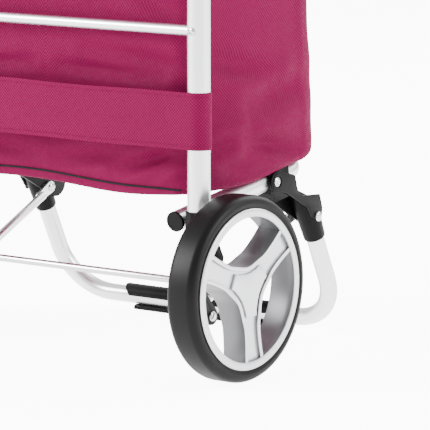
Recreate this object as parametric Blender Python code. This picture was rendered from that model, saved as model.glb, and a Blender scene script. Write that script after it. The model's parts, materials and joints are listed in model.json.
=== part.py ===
"""Folding two-wheel shopping trolley with a fabric bag.

Metres, +Z up. +X is the right-hand side, +Y points forward from the handle to the foot.
Local Y is measured from the wheel axle and local Z from the ground; one empty carries the whole
trolley so that the model's origin is the middle of its footprint.
"""
import math

import bmesh
import bpy
from mathutils import Matrix, Vector

# Overall layout
AXLE_Y = -0.0979            # axle line in the model's own frame
GAP = 0.0003                # clearance between fixed neighbours
RUN = 0.0005                # clearance between pieces that turn on each other
POST_HALF = 0.2245          # post centre line to the middle plane
POST_Y = -0.0105            # post centre line behind the axle

# Wheels
WHEEL_R = 0.100
WHEEL_CLEAR = 0.0240        # tyre face nearest the frame, outside the post centre line
WHEEL_WIDTH = 0.0365        # tyre width across the shoulders
WHEEL_FACE = 0.0015         # how far the rim ring stands proud of the tyre
SEAT_R = 0.086              # rim radius under the tyre
RIM_INNER_R = 0.0774        # inside edge of the rim's front ring
BARREL_WALL = 0.006
SPOKE_FRONT = 0.003         # spoke face set back from the ring face
SPOKE_DEPTH = 0.0145
SPOKE_START = math.radians(36.0)
SPOKE_WIDTHS = ((0.0815, 0.0150), (0.052, 0.0115), (0.036, 0.0120))
SPOKE_WEB_R = 0.024
HUB_R = 0.016
HUB_SET_BACK = 0.009        # hub end behind the ring face
COVER_R = 0.030
COVER_HALF = 0.010
COVER_WEB_R = 0.0145
AXLE_R = 0.004
BUSH_WALL = 0.0022
NUT_LENGTH = 0.003
NUT_WALL = 0.0042

# Frame
POST_R = 0.0125
TUBE_WALL = 0.0015
POST_FOOT = 0.150           # lower end of the post, inside its socket
POST_TOP = 0.800
CROSSBAR_R = 0.00575
CROSSBAR_WALL = 0.00125
CROSSBAR_HEIGHTS = (0.371, 0.700)
RIVET_R = 0.002
RIVET_HEAD_R = 0.0045
RIVET_HEAD = 0.0014
BOW_INSERT = 0.060
BOW_RISE = 0.105            # straight length above the post before the bow leans back
BOW_LEAN = math.radians(30.0)
BOW_BEND_R = 0.090
BOW_REACH = 0.075
BOW_CORNER_R = 0.060
GRIP_R = 0.0165
GRIP_HALF = 0.130
COLLAR_WALL = 0.0033
COLLAR_LENGTH = 0.028

# Wheel bracket
SOCKET_WALL = 0.002
SOCKET_FOOT = 0.140
SOCKET_TOP = 0.1795
BOSS_R = 0.012
BOSS_INSET = 0.0135         # boss end inside the platform tube's centre line
BOSS_CLEAR = 0.006          # boss end to the tyre
WEB_HALF = 0.0115
ARM_REACH = 0.0045          # arm face outside the platform tube's centre line
ARM_TIP_R = 0.010

# Folding platform, leg and struts: pivots as (y, z)
PLATFORM_PIVOT = (-0.0105, 0.1681)
LEG_PIVOT = (0.142, 0.1935)
STRUT_LOW = (0.040, 0.057)
STRUT_HIGH = (0.2186, 0.1464)
PLATFORM_R = 0.011
PLATFORM_DEPTH = 0.22557    # pivot to the front bar, along the tube
PLATFORM_CORNER_R = 0.040
PLATFORM_TAIL = 0.0065
CAP_THICK = 0.0025
CAP_SPIGOT = 0.0014
PIN_R = 0.004
PIN_HEAD_R = 0.0065
PIN_HEAD = 0.0025
LEG_R = 0.010
LEG_CORNER_R = 0.060
LEG_BAR = (0.2825, 0.016)   # centre of the leg's ground bar
LEG_LEAN = math.radians(25.2)
LEG_LENGTH = 0.160
SLEEVE_TOP = 0.170          # distances up the leg from the ground bar
SLEEVE_FOOT = 0.115
SLEEVE_R_TOP = 0.0165
SLEEVE_R_FOOT = 0.0140
SADDLE_WALL = 0.0015
SADDLE_BACK = -0.009
SADDLE_FRONT = 0.027
SADDLE_BLOCK = 0.0105
CHEEK_GAP = 0.0002
CHEEK_IN = 0.0033
CHEEK_OUT = 0.0036
CHEEK_R = 0.0115
DISC_CENTRE = (0.207, 0.161)
DISC_R = 0.0255
LEG_RIVET_R = 0.0042
LEG_RIVET_BORE = 0.0028
LEG_RIVET_HEAD_R = 0.0062
LEG_RIVET_HEAD = 0.0009
STRUT_R = 0.005
STRUT_THICK = 0.005
STRUT_EYE_R = 0.007
STRUT_FLAT = 0.022
STRUT_PIN_R = 0.003
STRUT_HEAD_R = 0.0055
STRUT_HEAD = 0.0018
SHOE_HALF = 0.113
SHOE_WALL = 0.0032
SHOE_SLANT = 0.45
SHOE_SCREW_R = 0.0016
SHOE_SCREW_HEAD_R = 0.0034

# Bag
BAG_HALF = 0.200
BAG_BACK = 0.0045
BAG_FRONT = 0.2260
BAG_TOP = 0.775
BAG_LOW_BACK = 0.194        # bottom edge at the back and at the front
BAG_LOW_FRONT = 0.2190
BAG_WALL = 0.003
BAG_CORNER_BACK = 0.025
BAG_CORNER_FRONT = 0.045
BOARD_THICK = 0.004
BOARD_MARGIN = 0.004
BAND_LOW = 0.2455
BAND_HIGH = 0.3065
BAND_THICK = 0.0018
BAND_REACH = 0.045
LOOP_X = 0.110
LOOP_WIDTH = 0.030
LOOP_THICK = 0.0016
LID_THICK = 0.004
LID_SKIRT = 0.060
LID_CLEAR = 0.0015
POCKET_HALF = 0.130
POCKET_LOW = 0.300
POCKET_HIGH = 0.540
POCKET_THICK = 0.014
STRAP_HALF = 0.0125
STRAP_THICK = 0.0018
BUCKLE_HALF = 0.017
BUCKLE_TOP = 0.662
BUCKLE_MIDDLE = 0.640
BUCKLE_LOW = 0.612
BUCKLE_THICK = 0.009

ROUND = 12                  # sides of the larger round pieces
SMALL = 10                  # sides of pins and rivets
WHEEL_SIDES = 36
BEND_STEPS = 5

COLLAR_R = POST_R + COLLAR_WALL
SOCKET_R = POST_R + SOCKET_WALL
RAIL_HALF = POST_HALF - SOCKET_R - RUN - PLATFORM_R     # platform and leg tube centre line
DRILL_IN = RAIL_HALF - 0.040                            # holes of one side are cut between
DRILL_OUT = POST_HALF + 0.040                           # these two planes
WHEEL_INNER_X = POST_HALF + WHEEL_CLEAR
WHEEL_OUTER_X = WHEEL_INNER_X + WHEEL_WIDTH
RING_X = WHEEL_OUTER_X + WHEEL_FACE
TILT = math.atan2(LEG_PIVOT[1] - PLATFORM_PIVOT[1], LEG_PIVOT[0] - PLATFORM_PIVOT[0])
BOSS_INNER_X = RAIL_HALF - BOSS_INSET
BOSS_OUTER_X = WHEEL_INNER_X - BOSS_CLEAR
ARM_OUTER_X = RAIL_HALF + ARM_REACH
SADDLE_SIDE = PLATFORM_R + SADDLE_WALL
CHEEK_INNER_X = RAIL_HALF - SADDLE_SIDE - CHEEK_GAP
CHEEK_OUTER_X = RAIL_HALF + SADDLE_SIDE + CHEEK_GAP
STRUT_FACE_X = CHEEK_INNER_X - CHEEK_IN - RUN


def clear_scene():
    for obj in list(bpy.data.objects):
        bpy.data.objects.remove(obj, do_unlink=True)


def material(name, colour, roughness, metallic=0.0):
    mat = bpy.data.materials.get(name)
    if mat is None:
        mat = bpy.data.materials.new(name)
        mat.use_nodes = True
        shader = mat.node_tree.nodes["Principled BSDF"]
        shader.inputs["Base Color"].default_value = (*colour, 1.0)
        shader.inputs["Roughness"].default_value = roughness
        shader.inputs["Metallic"].default_value = metallic
    return mat


def aluminium():
    return material("anodised_aluminium", (0.80, 0.81, 0.84), 0.35, 1.0)


def steel():
    return material("bright_steel", (0.78, 0.78, 0.80), 0.22, 1.0)


def black_plastic():
    return material("black_plastic", (0.018, 0.018, 0.020), 0.5)


def grey_plastic():
    return material("silver_plastic", (0.62, 0.63, 0.66), 0.38, 0.3)


def rubber():
    return material("tyre_rubber", (0.025, 0.024, 0.026), 0.6)


def foam():
    return material("grip_foam", (0.020, 0.020, 0.022), 0.85)


def fabric():
    return material("plum_polyester", (0.40, 0.035, 0.125), 0.75)


def webbing():
    return material("black_webbing", (0.020, 0.019, 0.022), 0.8)


# Mesh building

def prism(outline, low, high, axis="x"):
    """Closed solid from a flat outline, pushed along one axis."""
    order = {"x": (2, 0, 1), "y": (0, 2, 1), "z": (0, 1, 2)}[axis]

    def place(*values):
        return tuple(values[i] for i in order)

    bm = bmesh.new()
    base = bm.faces.new([bm.verts.new(place(a, b, low)) for a, b in outline])
    grown = bmesh.ops.extrude_face_region(bm, geom=[base], use_keep_orig=True)
    top = [v for v in grown["geom"] if isinstance(v, bmesh.types.BMVert)]
    push = Vector(place(0.0, 0.0, high - low))
    bmesh.ops.translate(bm, verts=top, vec=push)
    bmesh.ops.recalc_face_normals(bm, faces=bm.faces)
    return bm


def turned(profile, sides=ROUND, centre=(0.0, 0.0)):
    """Ring or solid turned about an X axis through centre, from a closed (radius, x) profile."""
    bm = bmesh.new()
    rings = []
    for radius, x in profile:
        if radius == 0.0:
            rings.append([bm.verts.new((x, *centre))] * sides)
            continue
        turns = [2.0 * math.pi * i / sides for i in range(sides)]
        rings.append([bm.verts.new((x, centre[0] + radius * math.cos(t), centre[1] + radius * math.sin(t)))
                      for t in turns])
    for here, after in zip(rings, rings[1:] + rings[:1]):
        for i in range(sides):
            j = (i + 1) % sides
            corners = list(dict.fromkeys((here[i], here[j], after[j], after[i])))
            if len(corners) > 2:
                bm.faces.new(corners)
    bmesh.ops.recalc_face_normals(bm, faces=bm.faces)
    return bm


def rod(radius, low, high, centre=(0.0, 0.0), sides=SMALL):
    outline = [(centre[0] + radius * math.cos(2.0 * math.pi * k / sides),
                centre[1] + radius * math.sin(2.0 * math.pi * k / sides)) for k in range(sides)]
    return prism(outline, low, high)


def ring(outer, bore, low, high, centre=(0.0, 0.0), sides=ROUND):
    return turned([(bore, low), (outer, low), (outer, high), (bore, high)], sides, centre)


def tube(path, across, outer, bore, sides=ROUND):
    """Tube along a path; across gives, at each point, a direction square to the path."""
    bm = bmesh.new()
    radii = [outer] if bore is None else [outer, bore]
    layers = []
    for radius in radii:
        rings = []
        for i, point in enumerate(path):
            before = path[max(i - 1, 0)]
            after = path[min(i + 1, len(path) - 1)]
            along = (after - before).normalized()
            side = along.cross(across[i]).normalized()
            up = side.cross(along)
            turns = [2.0 * math.pi * k / sides for k in range(sides)]
            rings.append([bm.verts.new(point + radius * (math.cos(t) * side + math.sin(t) * up))
                          for t in turns])
        for here, after in zip(rings, rings[1:]):
            for k in range(sides):
                bm.faces.new((here[k], here[(k + 1) % sides], after[(k + 1) % sides], after[k]))
        layers.append(rings)
    for end in (0, -1):
        if bore is None:
            bm.faces.new(layers[0][end])
            continue
        out, into = layers[0][end], layers[1][end]
        for k in range(sides):
            bm.faces.new((out[k], out[(k + 1) % sides], into[(k + 1) % sides], into[k]))
    bmesh.ops.recalc_face_normals(bm, faces=bm.faces)
    return bm


def straight_tube(start, end, outer, bore, sides=ROUND):
    along = (Vector(end) - Vector(start)).normalized()
    across = Vector((0.0, 0.0, 1.0)) if abs(along.z) < 0.9 else Vector((1.0, 0.0, 0.0))
    return tube([Vector(start), Vector(end)], [across, across], outer, bore, sides)


def hoop(half, length, corner, spine, stations):
    """Path of a U: up one side, round two corners and back; spine places the distance along."""
    flat = [(half, s) for s in stations if s < length - corner]
    flat += [(half - corner + corner * math.cos(t), length - corner + corner * math.sin(t))
             for t in (0.5 * math.pi * k / BEND_STEPS for k in range(BEND_STEPS + 1))]
    flat += [(-x, s) for x, s in reversed(flat)]
    path, across = [], []
    for x, s in flat:
        y, z, lean = spine(s)
        path.append(Vector((x, y, z)))
        across.append(Vector((0.0, math.cos(lean), math.sin(lean))))
    return path, across


def boolean(first, second, operation):
    """Joins or cuts two meshes and gives the result; both inputs are used up."""
    holders = []
    for bm in (first, second):
        mesh = bpy.data.meshes.new("operand")
        bm.to_mesh(mesh)
        bm.free()
        holder = bpy.data.objects.new("operand", mesh)
        bpy.context.scene.collection.objects.link(holder)
        holders.append(holder)
    modifier = holders[0].modifiers.new("boolean", "BOOLEAN")
    modifier.operation = operation
    modifier.solver = "EXACT"
    modifier.object = holders[1]
    graph = bpy.context.evaluated_depsgraph_get()
    result = bmesh.new()
    result.from_mesh(holders[0].evaluated_get(graph).to_mesh())
    for holder in holders:
        bpy.data.objects.remove(holder, do_unlink=True)
    return result


def join(first, *others):
    for other in others:
        first = boolean(first, other, "UNION")
    return first


def cut(first, *others):
    for other in others:
        first = boolean(first, other, "DIFFERENCE")
    return first


def place(name, bm, mat, at=(0.0, 0.0), side=1, turn=0.0):
    """Makes a node from a mesh given in local metres; its origin goes to (y, z) = at."""
    shift = Matrix.Translation((0.0, -at[0], -at[1]))
    bmesh.ops.transform(bm, matrix=Matrix.Rotation(-turn, 4, "X") @ shift, verts=bm.verts)
    if side < 0:
        bmesh.ops.scale(bm, vec=(-1.0, 1.0, 1.0), verts=bm.verts)
        bmesh.ops.reverse_faces(bm, faces=bm.faces)
    bmesh.ops.remove_doubles(bm, verts=bm.verts, dist=0.000002)
    mesh = bpy.data.meshes.new(name)
    bm.to_mesh(mesh)
    bm.free()
    mesh.shade_smooth()
    mesh.set_sharp_from_angle(angle=math.radians(35.0))
    mesh.materials.append(mat)
    obj = bpy.data.objects.new(name, mesh)
    obj.location = (0.0, at[0], at[1])
    obj.rotation_euler = (turn, 0.0, 0.0)
    obj.parent = bpy.data.objects["trolley"]
    bpy.context.scene.collection.objects.link(obj)
    return obj


def pair(name, build, mat, at=(0.0, 0.0), turn=0.0):
    """One piece on each side; the left one is the mirror image."""
    for label, side in (("right", 1), ("left", -1)):
        place(f"{name}_{label}", build(), mat, at, side, turn)


# Outlines

def arc(centre, radius, start, end, steps):
    """Points on a circle from start to end, in degrees."""
    turns = [math.radians(start + (end - start) * k / steps) for k in range(steps + 1)]
    return [(centre[0] + radius * math.cos(t), centre[1] + radius * math.sin(t)) for t in turns]


def capsule(first, first_r, second, second_r, steps=6):
    """Two round ends joined by straight sides."""
    away = math.degrees(math.atan2(second[1] - first[1], second[0] - first[0]))
    span = math.hypot(second[0] - first[0], second[1] - first[1])
    swing = math.degrees(math.asin((second_r - first_r) / span))
    outline = arc(first, first_r, away + 90.0 + swing, away + 270.0 - swing, steps)
    outline += arc(second, second_r, away - 90.0 - swing, away + 90.0 + swing, steps)
    return outline


def ribbon(path, thickness):
    """Outline of a strip of even thickness that follows an open flat path."""
    left, right = [], []
    for i, point in enumerate(path):
        before = Vector(path[max(i - 1, 0)])
        after = Vector(path[min(i + 1, len(path) - 1)])
        along = (after - before).normalized()
        out = Vector((-along.y, along.x)) * (0.5 * thickness)
        left.append((point[0] + out.x, point[1] + out.y))
        right.append((point[0] - out.x, point[1] - out.y))
    return left + right[::-1]


def star(arms, web_r, start):
    """Three-armed outline; arms lists (radius, half width) from the tip inwards."""
    outline = []
    for k in range(3):
        turn = start + 2.0 * math.pi * k / 3.0
        for r, w in arms[::-1]:
            outline.append((r, -w, turn))
        for r, w in arms:
            outline.append((r, w, turn))
        outline.append((web_r, 0.0, turn + math.pi / 3.0))
    return [(r * math.cos(t) - w * math.sin(t), r * math.sin(t) + w * math.cos(t)) for r, w, t in outline]


def rounded_plan(half, back, front, back_r, front_r, steps=4):
    """Bag plan, anticlockwise from the right rear corner."""
    plan = arc((half - back_r, back + back_r), back_r, -90.0, 0.0, steps)
    plan += arc((half - front_r, front - front_r), front_r, 0.0, 90.0, steps)
    plan += arc((-half + front_r, front - front_r), front_r, 90.0, 180.0, steps)
    plan += arc((-half + back_r, back + back_r), back_r, 180.0, 270.0, steps)
    return plan


# Wheels

def tyre():
    seat = SEAT_R + GAP
    low, high = WHEEL_INNER_X, WHEEL_OUTER_X
    profile = [(seat, low + 0.001), (WHEEL_R - 0.010, low), (WHEEL_R - 0.0035, low + 0.0016),
               (WHEEL_R, low + 0.006), (WHEEL_R, high - 0.006), (WHEEL_R - 0.0035, high - 0.0016),
               (WHEEL_R - 0.010, high), (seat, high - 0.0005)]
    return turned(profile, WHEEL_SIDES, (0.0, WHEEL_R))


def rim():
    middle = (0.0, WHEEL_R)
    inner_x = WHEEL_INNER_X + 0.0035
    face_x = RING_X - SPOKE_FRONT
    barrel = turned([(SEAT_R, inner_x), (SEAT_R, RING_X), (RIM_INNER_R, RING_X),
                     (SEAT_R - BARREL_WALL, inner_x)], WHEEL_SIDES, middle)
    outline = [(y, WHEEL_R + z) for y, z in star(SPOKE_WIDTHS, SPOKE_WEB_R, SPOKE_START)]
    spokes = prism(outline, face_x - SPOKE_DEPTH, face_x)
    hub = rod(HUB_R, WHEEL_INNER_X, RING_X - HUB_SET_BACK, middle, ROUND)
    bore_r = AXLE_R + GAP + BUSH_WALL + GAP
    bore = rod(bore_r, WHEEL_INNER_X - 0.002, RING_X, middle, ROUND)
    recess = rod(bore_r + 0.003, RING_X - HUB_SET_BACK - 0.0002, RING_X + 0.001, middle, ROUND)
    return cut(join(barrel, spokes, hub), recess, bore)


def hub_bush():
    bore = AXLE_R + GAP
    return ring(bore + BUSH_WALL, bore, WHEEL_INNER_X, RING_X - HUB_SET_BACK, (0.0, WHEEL_R))


def hub_cover():
    arms = ((COVER_R, COVER_HALF * 0.8), (COVER_R - 0.003, COVER_HALF))
    outline = [(y, WHEEL_R + z) for y, z in star(arms, COVER_WEB_R, SPOKE_START)]
    return prism(outline, RING_X - SPOKE_FRONT + GAP, RING_X)


def axle_spacer():
    bore = AXLE_R + GAP
    return ring(bore + 0.0045, bore, BOSS_OUTER_X + GAP, WHEEL_INNER_X - GAP, (0.0, WHEEL_R))


def axle_nut():
    low = RING_X - HUB_SET_BACK + GAP
    bore = AXLE_R + GAP
    middle = (0.0, WHEEL_R)
    nut = rod(bore + NUT_WALL, low, low + NUT_LENGTH, middle, 6)
    return cut(nut, rod(bore, low - NUT_LENGTH, low + 2.0 * NUT_LENGTH, middle, ROUND))


def wheels():
    middle = (0.0, WHEEL_R)
    pair("tyre", tyre, rubber(), middle)
    pair("rim", rim, grey_plastic(), middle)
    pair("hub_bush", hub_bush, black_plastic(), middle)
    pair("hub_cover", hub_cover, grey_plastic(), middle)
    pair("axle_spacer", axle_spacer, black_plastic(), middle)
    pair("axle_nut", axle_nut, steel(), middle)
    half = RING_X - HUB_SET_BACK + NUT_LENGTH + 0.0008
    place("axle", rod(AXLE_R, -half, half, middle, ROUND), steel(), middle)


# Upright frame

def post():
    bore = POST_R - TUBE_WALL
    body = straight_tube((POST_HALF, POST_Y, POST_FOOT), (POST_HALF, POST_Y, POST_TOP), POST_R, bore)
    body = cut(body, rod(PIN_R + GAP, RAIL_HALF, DRILL_OUT, PLATFORM_PIVOT))
    for height in CROSSBAR_HEIGHTS:
        body = cut(body, rod(CROSSBAR_R + GAP, RAIL_HALF, POST_HALF, (POST_Y, height), 12))
        body = cut(body, crossways(RIVET_R + GAP, POST_HALF, height, POST_Y - 0.03, POST_Y))
    return body


def crossways(radius, x, z, low, high):
    """A round solid along Y."""
    return straight_tube((x, low, z), (x, high, z), radius, None, SMALL)


def crossbar(height):
    reach = POST_HALF + 0.006
    bar = ring(CROSSBAR_R, CROSSBAR_R - CROSSBAR_WALL, -reach, reach, (POST_Y, height), 12)
    for x in (-POST_HALF, POST_HALF):
        bar = cut(bar, crossways(RIVET_R + GAP, x, height, POST_Y - 0.03, POST_Y))
    return bar


def crossbar_rivet(height):
    rear = POST_Y - POST_R - GAP
    shank = crossways(RIVET_R, POST_HALF, height, rear - 0.5 * RIVET_HEAD, POST_Y - 0.001)
    return join(crossways(RIVET_HEAD_R, POST_HALF, height, rear - RIVET_HEAD, rear), shank)


def bow_spine(s):
    """Distance up the bow as (y, z, lean): upright, bent backwards, then straight."""
    straight = BOW_INSERT + BOW_RISE
    foot = POST_TOP - BOW_INSERT
    if s <= straight:
        return POST_Y, foot + s, 0.0
    lean = min((s - straight) / BOW_BEND_R, BOW_LEAN)
    y = POST_Y - BOW_BEND_R * (1.0 - math.cos(lean))
    z = foot + straight + BOW_BEND_R * math.sin(lean)
    rest = max(s - straight - BOW_BEND_R * BOW_LEAN, 0.0)
    return y - rest * math.sin(lean), z + rest * math.cos(lean), lean


def bow_length():
    return BOW_INSERT + BOW_RISE + BOW_BEND_R * BOW_LEAN + BOW_REACH


def handle_bow():
    straight = BOW_INSERT + BOW_RISE
    stations = [0.0] + [straight + BOW_BEND_R * BOW_LEAN * k / 3.0 for k in range(4)]
    path, across = hoop(POST_HALF, bow_length(), BOW_CORNER_R, bow_spine, stations)
    outer = POST_R - TUBE_WALL - RUN
    return tube(path, across, outer, outer - TUBE_WALL)


def handle_grip():
    y, z, _lean = bow_spine(bow_length())
    bore = POST_R - TUBE_WALL - RUN + GAP
    return turned([(bore, -GRIP_HALF), (GRIP_R - 0.003, -GRIP_HALF), (GRIP_R, -GRIP_HALF + 0.004),
                   (GRIP_R, GRIP_HALF - 0.004), (GRIP_R - 0.003, GRIP_HALF), (bore, GRIP_HALF)],
                  ROUND, (y, z))


def post_collar():
    low, high = POST_TOP - COLLAR_LENGTH * 0.7, POST_TOP + COLLAR_LENGTH * 0.3
    body = straight_tube((POST_HALF, POST_Y, low), (POST_HALF, POST_Y, high), COLLAR_R, POST_R - TUBE_WALL)
    wide = straight_tube((POST_HALF, POST_Y, low - 0.01), (POST_HALF, POST_Y, POST_TOP + GAP),
                         POST_R + GAP, None)
    return cut(body, wide)


def upright_frame():
    pair("post", post, aluminium())
    for level, height in zip(("lower", "upper"), CROSSBAR_HEIGHTS):
        place(f"crossbar_{level}", crossbar(height), aluminium())
        pair(f"crossbar_rivet_{level}", lambda: crossbar_rivet(height), steel())
    place("handle_bow", handle_bow(), aluminium())
    place("handle_grip", handle_grip(), foam())
    pair("post_collar", post_collar, black_plastic())


# Wheel brackets

def wheel_bracket():
    middle = (0.0, WHEEL_R)
    socket = straight_tube((POST_HALF, POST_Y, SOCKET_FOOT), (POST_HALF, POST_Y, SOCKET_TOP),
                           SOCKET_R, None)
    outline = [(POST_Y - 0.011, SOCKET_FOOT + 0.02), (-BOSS_R + 0.001, WHEEL_R),
               (0.004, WHEEL_R - 0.008), (BOSS_R - 0.001, WHEEL_R),
               (0.018, SOCKET_FOOT - 0.012), (POST_Y + 0.011, SOCKET_FOOT + 0.02)]
    web = prism(outline, POST_HALF - WEB_HALF, POST_HALF + WEB_HALF)
    boss = rod(BOSS_R, BOSS_INNER_X, BOSS_OUTER_X, middle, ROUND)
    arm = prism(capsule(middle, BOSS_R - 0.001, STRUT_LOW, ARM_TIP_R), BOSS_INNER_X + 0.0004, ARM_OUTER_X)
    body = join(web, socket, boss, arm)
    pocket = straight_tube((POST_HALF, POST_Y, POST_FOOT - GAP), (POST_HALF, POST_Y, SOCKET_TOP + 0.01),
                           POST_R + GAP, None)
    pin = rod(PIN_R + GAP, RAIL_HALF, DRILL_OUT, PLATFORM_PIVOT)
    axle_hole = rod(AXLE_R + GAP, DRILL_IN, DRILL_OUT, middle, ROUND)
    bolt_hole = rod(STRUT_PIN_R + GAP, DRILL_IN, DRILL_OUT, STRUT_LOW)
    return cut(body, pocket, pin, axle_hole, bolt_hole)


def platform_pin():
    inner = RAIL_HALF - PLATFORM_R - GAP
    shank = rod(PIN_R, inner - 0.5 * PIN_HEAD, POST_HALF + SOCKET_R - 0.001, PLATFORM_PIVOT)
    return join(rod(PIN_HEAD_R, inner - PIN_HEAD, inner, PLATFORM_PIVOT), shank)


def brackets():
    pair("wheel_bracket", wheel_bracket, black_plastic())
    pair("platform_pin", platform_pin, steel(), PLATFORM_PIVOT)


# Folding platform

def along_platform(distance, drop=0.0):
    """Point (y, z) at a distance forward of the platform pivot and above its tube axis."""
    return (PLATFORM_PIVOT[0] + distance * math.cos(TILT) - drop * math.sin(TILT),
            PLATFORM_PIVOT[1] + distance * math.sin(TILT) + drop * math.cos(TILT))


def platform_spine(s):
    y, z = along_platform(s - PLATFORM_TAIL)
    return y, z, TILT + 0.5 * math.pi


def platform_tube():
    length = PLATFORM_DEPTH + PLATFORM_TAIL
    path, across = hoop(RAIL_HALF, length, PLATFORM_CORNER_R, platform_spine, [0.0])
    body = tube(path, across, PLATFORM_R, PLATFORM_R - TUBE_WALL)
    return cut(body, rod(PIN_R + GAP, -DRILL_OUT, DRILL_OUT, PLATFORM_PIVOT),
               rod(LEG_RIVET_R + GAP, -DRILL_OUT, DRILL_OUT, LEG_PIVOT))


def end_cap():
    rear = Vector((RAIL_HALF, *along_platform(-PLATFORM_TAIL - GAP - CAP_THICK)))
    face = Vector((RAIL_HALF, *along_platform(-PLATFORM_TAIL - GAP)))
    tip = Vector((RAIL_HALF, *along_platform(-PLATFORM_TAIL + CAP_SPIGOT)))
    inside = Vector((RAIL_HALF, *along_platform(-PLATFORM_TAIL - GAP - 0.5 * CAP_THICK)))
    return join(straight_tube(rear, face, PLATFORM_R, None),
                straight_tube(inside, tip, PLATFORM_R - TUBE_WALL - GAP, None))


def saddle():
    """Guide around the platform tube between the knuckle's cheeks, with a stop block below."""
    pivot_s = math.hypot(LEG_PIVOT[0] - PLATFORM_PIVOT[0], LEG_PIVOT[1] - PLATFORM_PIVOT[1])
    low, high = pivot_s + SADDLE_BACK, pivot_s + SADDLE_FRONT
    side = SADDLE_SIDE
    outline = [along_platform(low, side), along_platform(low, -side), along_platform(low + 0.004, -side),
               along_platform(low + 0.007, -side - SADDLE_BLOCK),
               along_platform(high, -side - SADDLE_BLOCK),
               along_platform(high, side)]
    body = prism(outline, RAIL_HALF - side, RAIL_HALF + side)
    bore = straight_tube((RAIL_HALF, *along_platform(low - 0.01)),
                         (RAIL_HALF, *along_platform(high + 0.01)),
                         PLATFORM_R + GAP, None)
    return cut(body, bore, rod(LEG_RIVET_R + GAP, DRILL_IN, DRILL_OUT, LEG_PIVOT))


def platform():
    place("platform_tube", platform_tube(), aluminium(), PLATFORM_PIVOT, turn=TILT)
    pair("platform_cap", end_cap, black_plastic(), PLATFORM_PIVOT, TILT)
    pair("hinge_saddle", saddle, black_plastic(), PLATFORM_PIVOT, TILT)


# Leg

def up_leg(distance, out=0.0):
    """Point (y, z) at a distance up the leg from its ground bar, and forward of its axis."""
    return (LEG_BAR[0] - distance * math.sin(LEG_LEAN) + out * math.cos(LEG_LEAN),
            LEG_BAR[1] + distance * math.cos(LEG_LEAN) + out * math.sin(LEG_LEAN))


def leg_spine(s):
    y, z = up_leg(LEG_LENGTH - s)
    return y, z, LEG_LEAN


def leg_tube():
    path, across = hoop(RAIL_HALF, LEG_LENGTH, LEG_CORNER_R, leg_spine, [0.0])
    body = tube(path, across, LEG_R, LEG_R - TUBE_WALL)
    return cut(body, rod(STRUT_PIN_R + GAP, -DRILL_OUT, DRILL_OUT, STRUT_HIGH))


def knuckle():
    """Fork that grips the platform tube and carries the leg in a sleeve."""
    outer_x = CHEEK_OUTER_X + CHEEK_OUT
    inner_x = CHEEK_INNER_X - CHEEK_IN
    crown = LEG_PIVOT[1] + CHEEK_R
    outline = arc(LEG_PIVOT, CHEEK_R, 90.0, 270.0, 6)
    outline += [(LEG_PIVOT[0] + 0.024, LEG_PIVOT[1] - 0.0145), up_leg(SLEEVE_TOP - 0.022, -0.010)]
    outline += [up_leg(SLEEVE_TOP - 0.022, 0.008), up_leg(SLEEVE_TOP - 0.002, 0.010)]
    outline += [up_leg(SLEEVE_TOP - 0.001, -0.008)]
    outline += [(LEG_PIVOT[0] + 0.040, crown - 0.023), (LEG_PIVOT[0] + 0.036, crown - 0.014)]
    outline += [(LEG_PIVOT[0] + 0.034, crown - 0.005), (LEG_PIVOT[0] + 0.029, crown - 0.0005)]
    outer_cheek = prism(outline, CHEEK_OUTER_X, outer_x)
    inner_cheek = prism(capsule(LEG_PIVOT, CHEEK_R, DISC_CENTRE, DISC_R), inner_x, CHEEK_INNER_X)
    top, foot = Vector((RAIL_HALF, *up_leg(SLEEVE_TOP))), Vector((RAIL_HALF, *up_leg(SLEEVE_FOOT)))
    sleeve = straight_tube(top, foot, SLEEVE_R_TOP, None)
    for vert in sleeve.verts:
        if (vert.co - foot).length < (vert.co - top).length:
            vert.co = foot + (vert.co - foot) * (SLEEVE_R_FOOT / SLEEVE_R_TOP)
    flat_x = inner_x + 0.5 * CHEEK_IN
    flat = prism([(0.15, 0.08), (0.30, 0.08), (0.30, 0.22), (0.15, 0.22)], flat_x - 0.03, flat_x)
    bore = straight_tube(Vector((RAIL_HALF, *up_leg(LEG_LENGTH + GAP))), Vector((RAIL_HALF, *up_leg(0.08))),
                         LEG_R + GAP, None)
    body = join(cut(sleeve, flat), outer_cheek, inner_cheek)
    return cut(body, bore, rod(LEG_RIVET_R + GAP, DRILL_IN, DRILL_OUT, LEG_PIVOT),
               rod(STRUT_PIN_R + GAP, DRILL_IN, DRILL_OUT, STRUT_HIGH))


def leg_rivet():
    """Tubular rivet that the leg swings on."""
    low, high = CHEEK_INNER_X - CHEEK_IN - GAP, CHEEK_OUTER_X + CHEEK_OUT + GAP
    profile = [(LEG_RIVET_BORE, low - LEG_RIVET_HEAD), (LEG_RIVET_HEAD_R, low - LEG_RIVET_HEAD),
               (LEG_RIVET_HEAD_R, low), (LEG_RIVET_R, low), (LEG_RIVET_R, high), (LEG_RIVET_HEAD_R, high),
               (LEG_RIVET_HEAD_R, high + LEG_RIVET_HEAD), (LEG_RIVET_BORE, high + LEG_RIVET_HEAD)]
    return turned(profile, SMALL, LEG_PIVOT)


def sleeve_rivet():
    low, high = CHEEK_INNER_X - CHEEK_IN, CHEEK_OUTER_X + CHEEK_OUT + 2.0 * GAP
    profile = [(0.0, low), (STRUT_PIN_R, low), (STRUT_PIN_R, high), (STRUT_HEAD_R, high),
               (STRUT_HEAD_R * 0.7, high + STRUT_HEAD), (0.0, high + STRUT_HEAD)]
    return turned(profile, SMALL, STRUT_HIGH)


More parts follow.
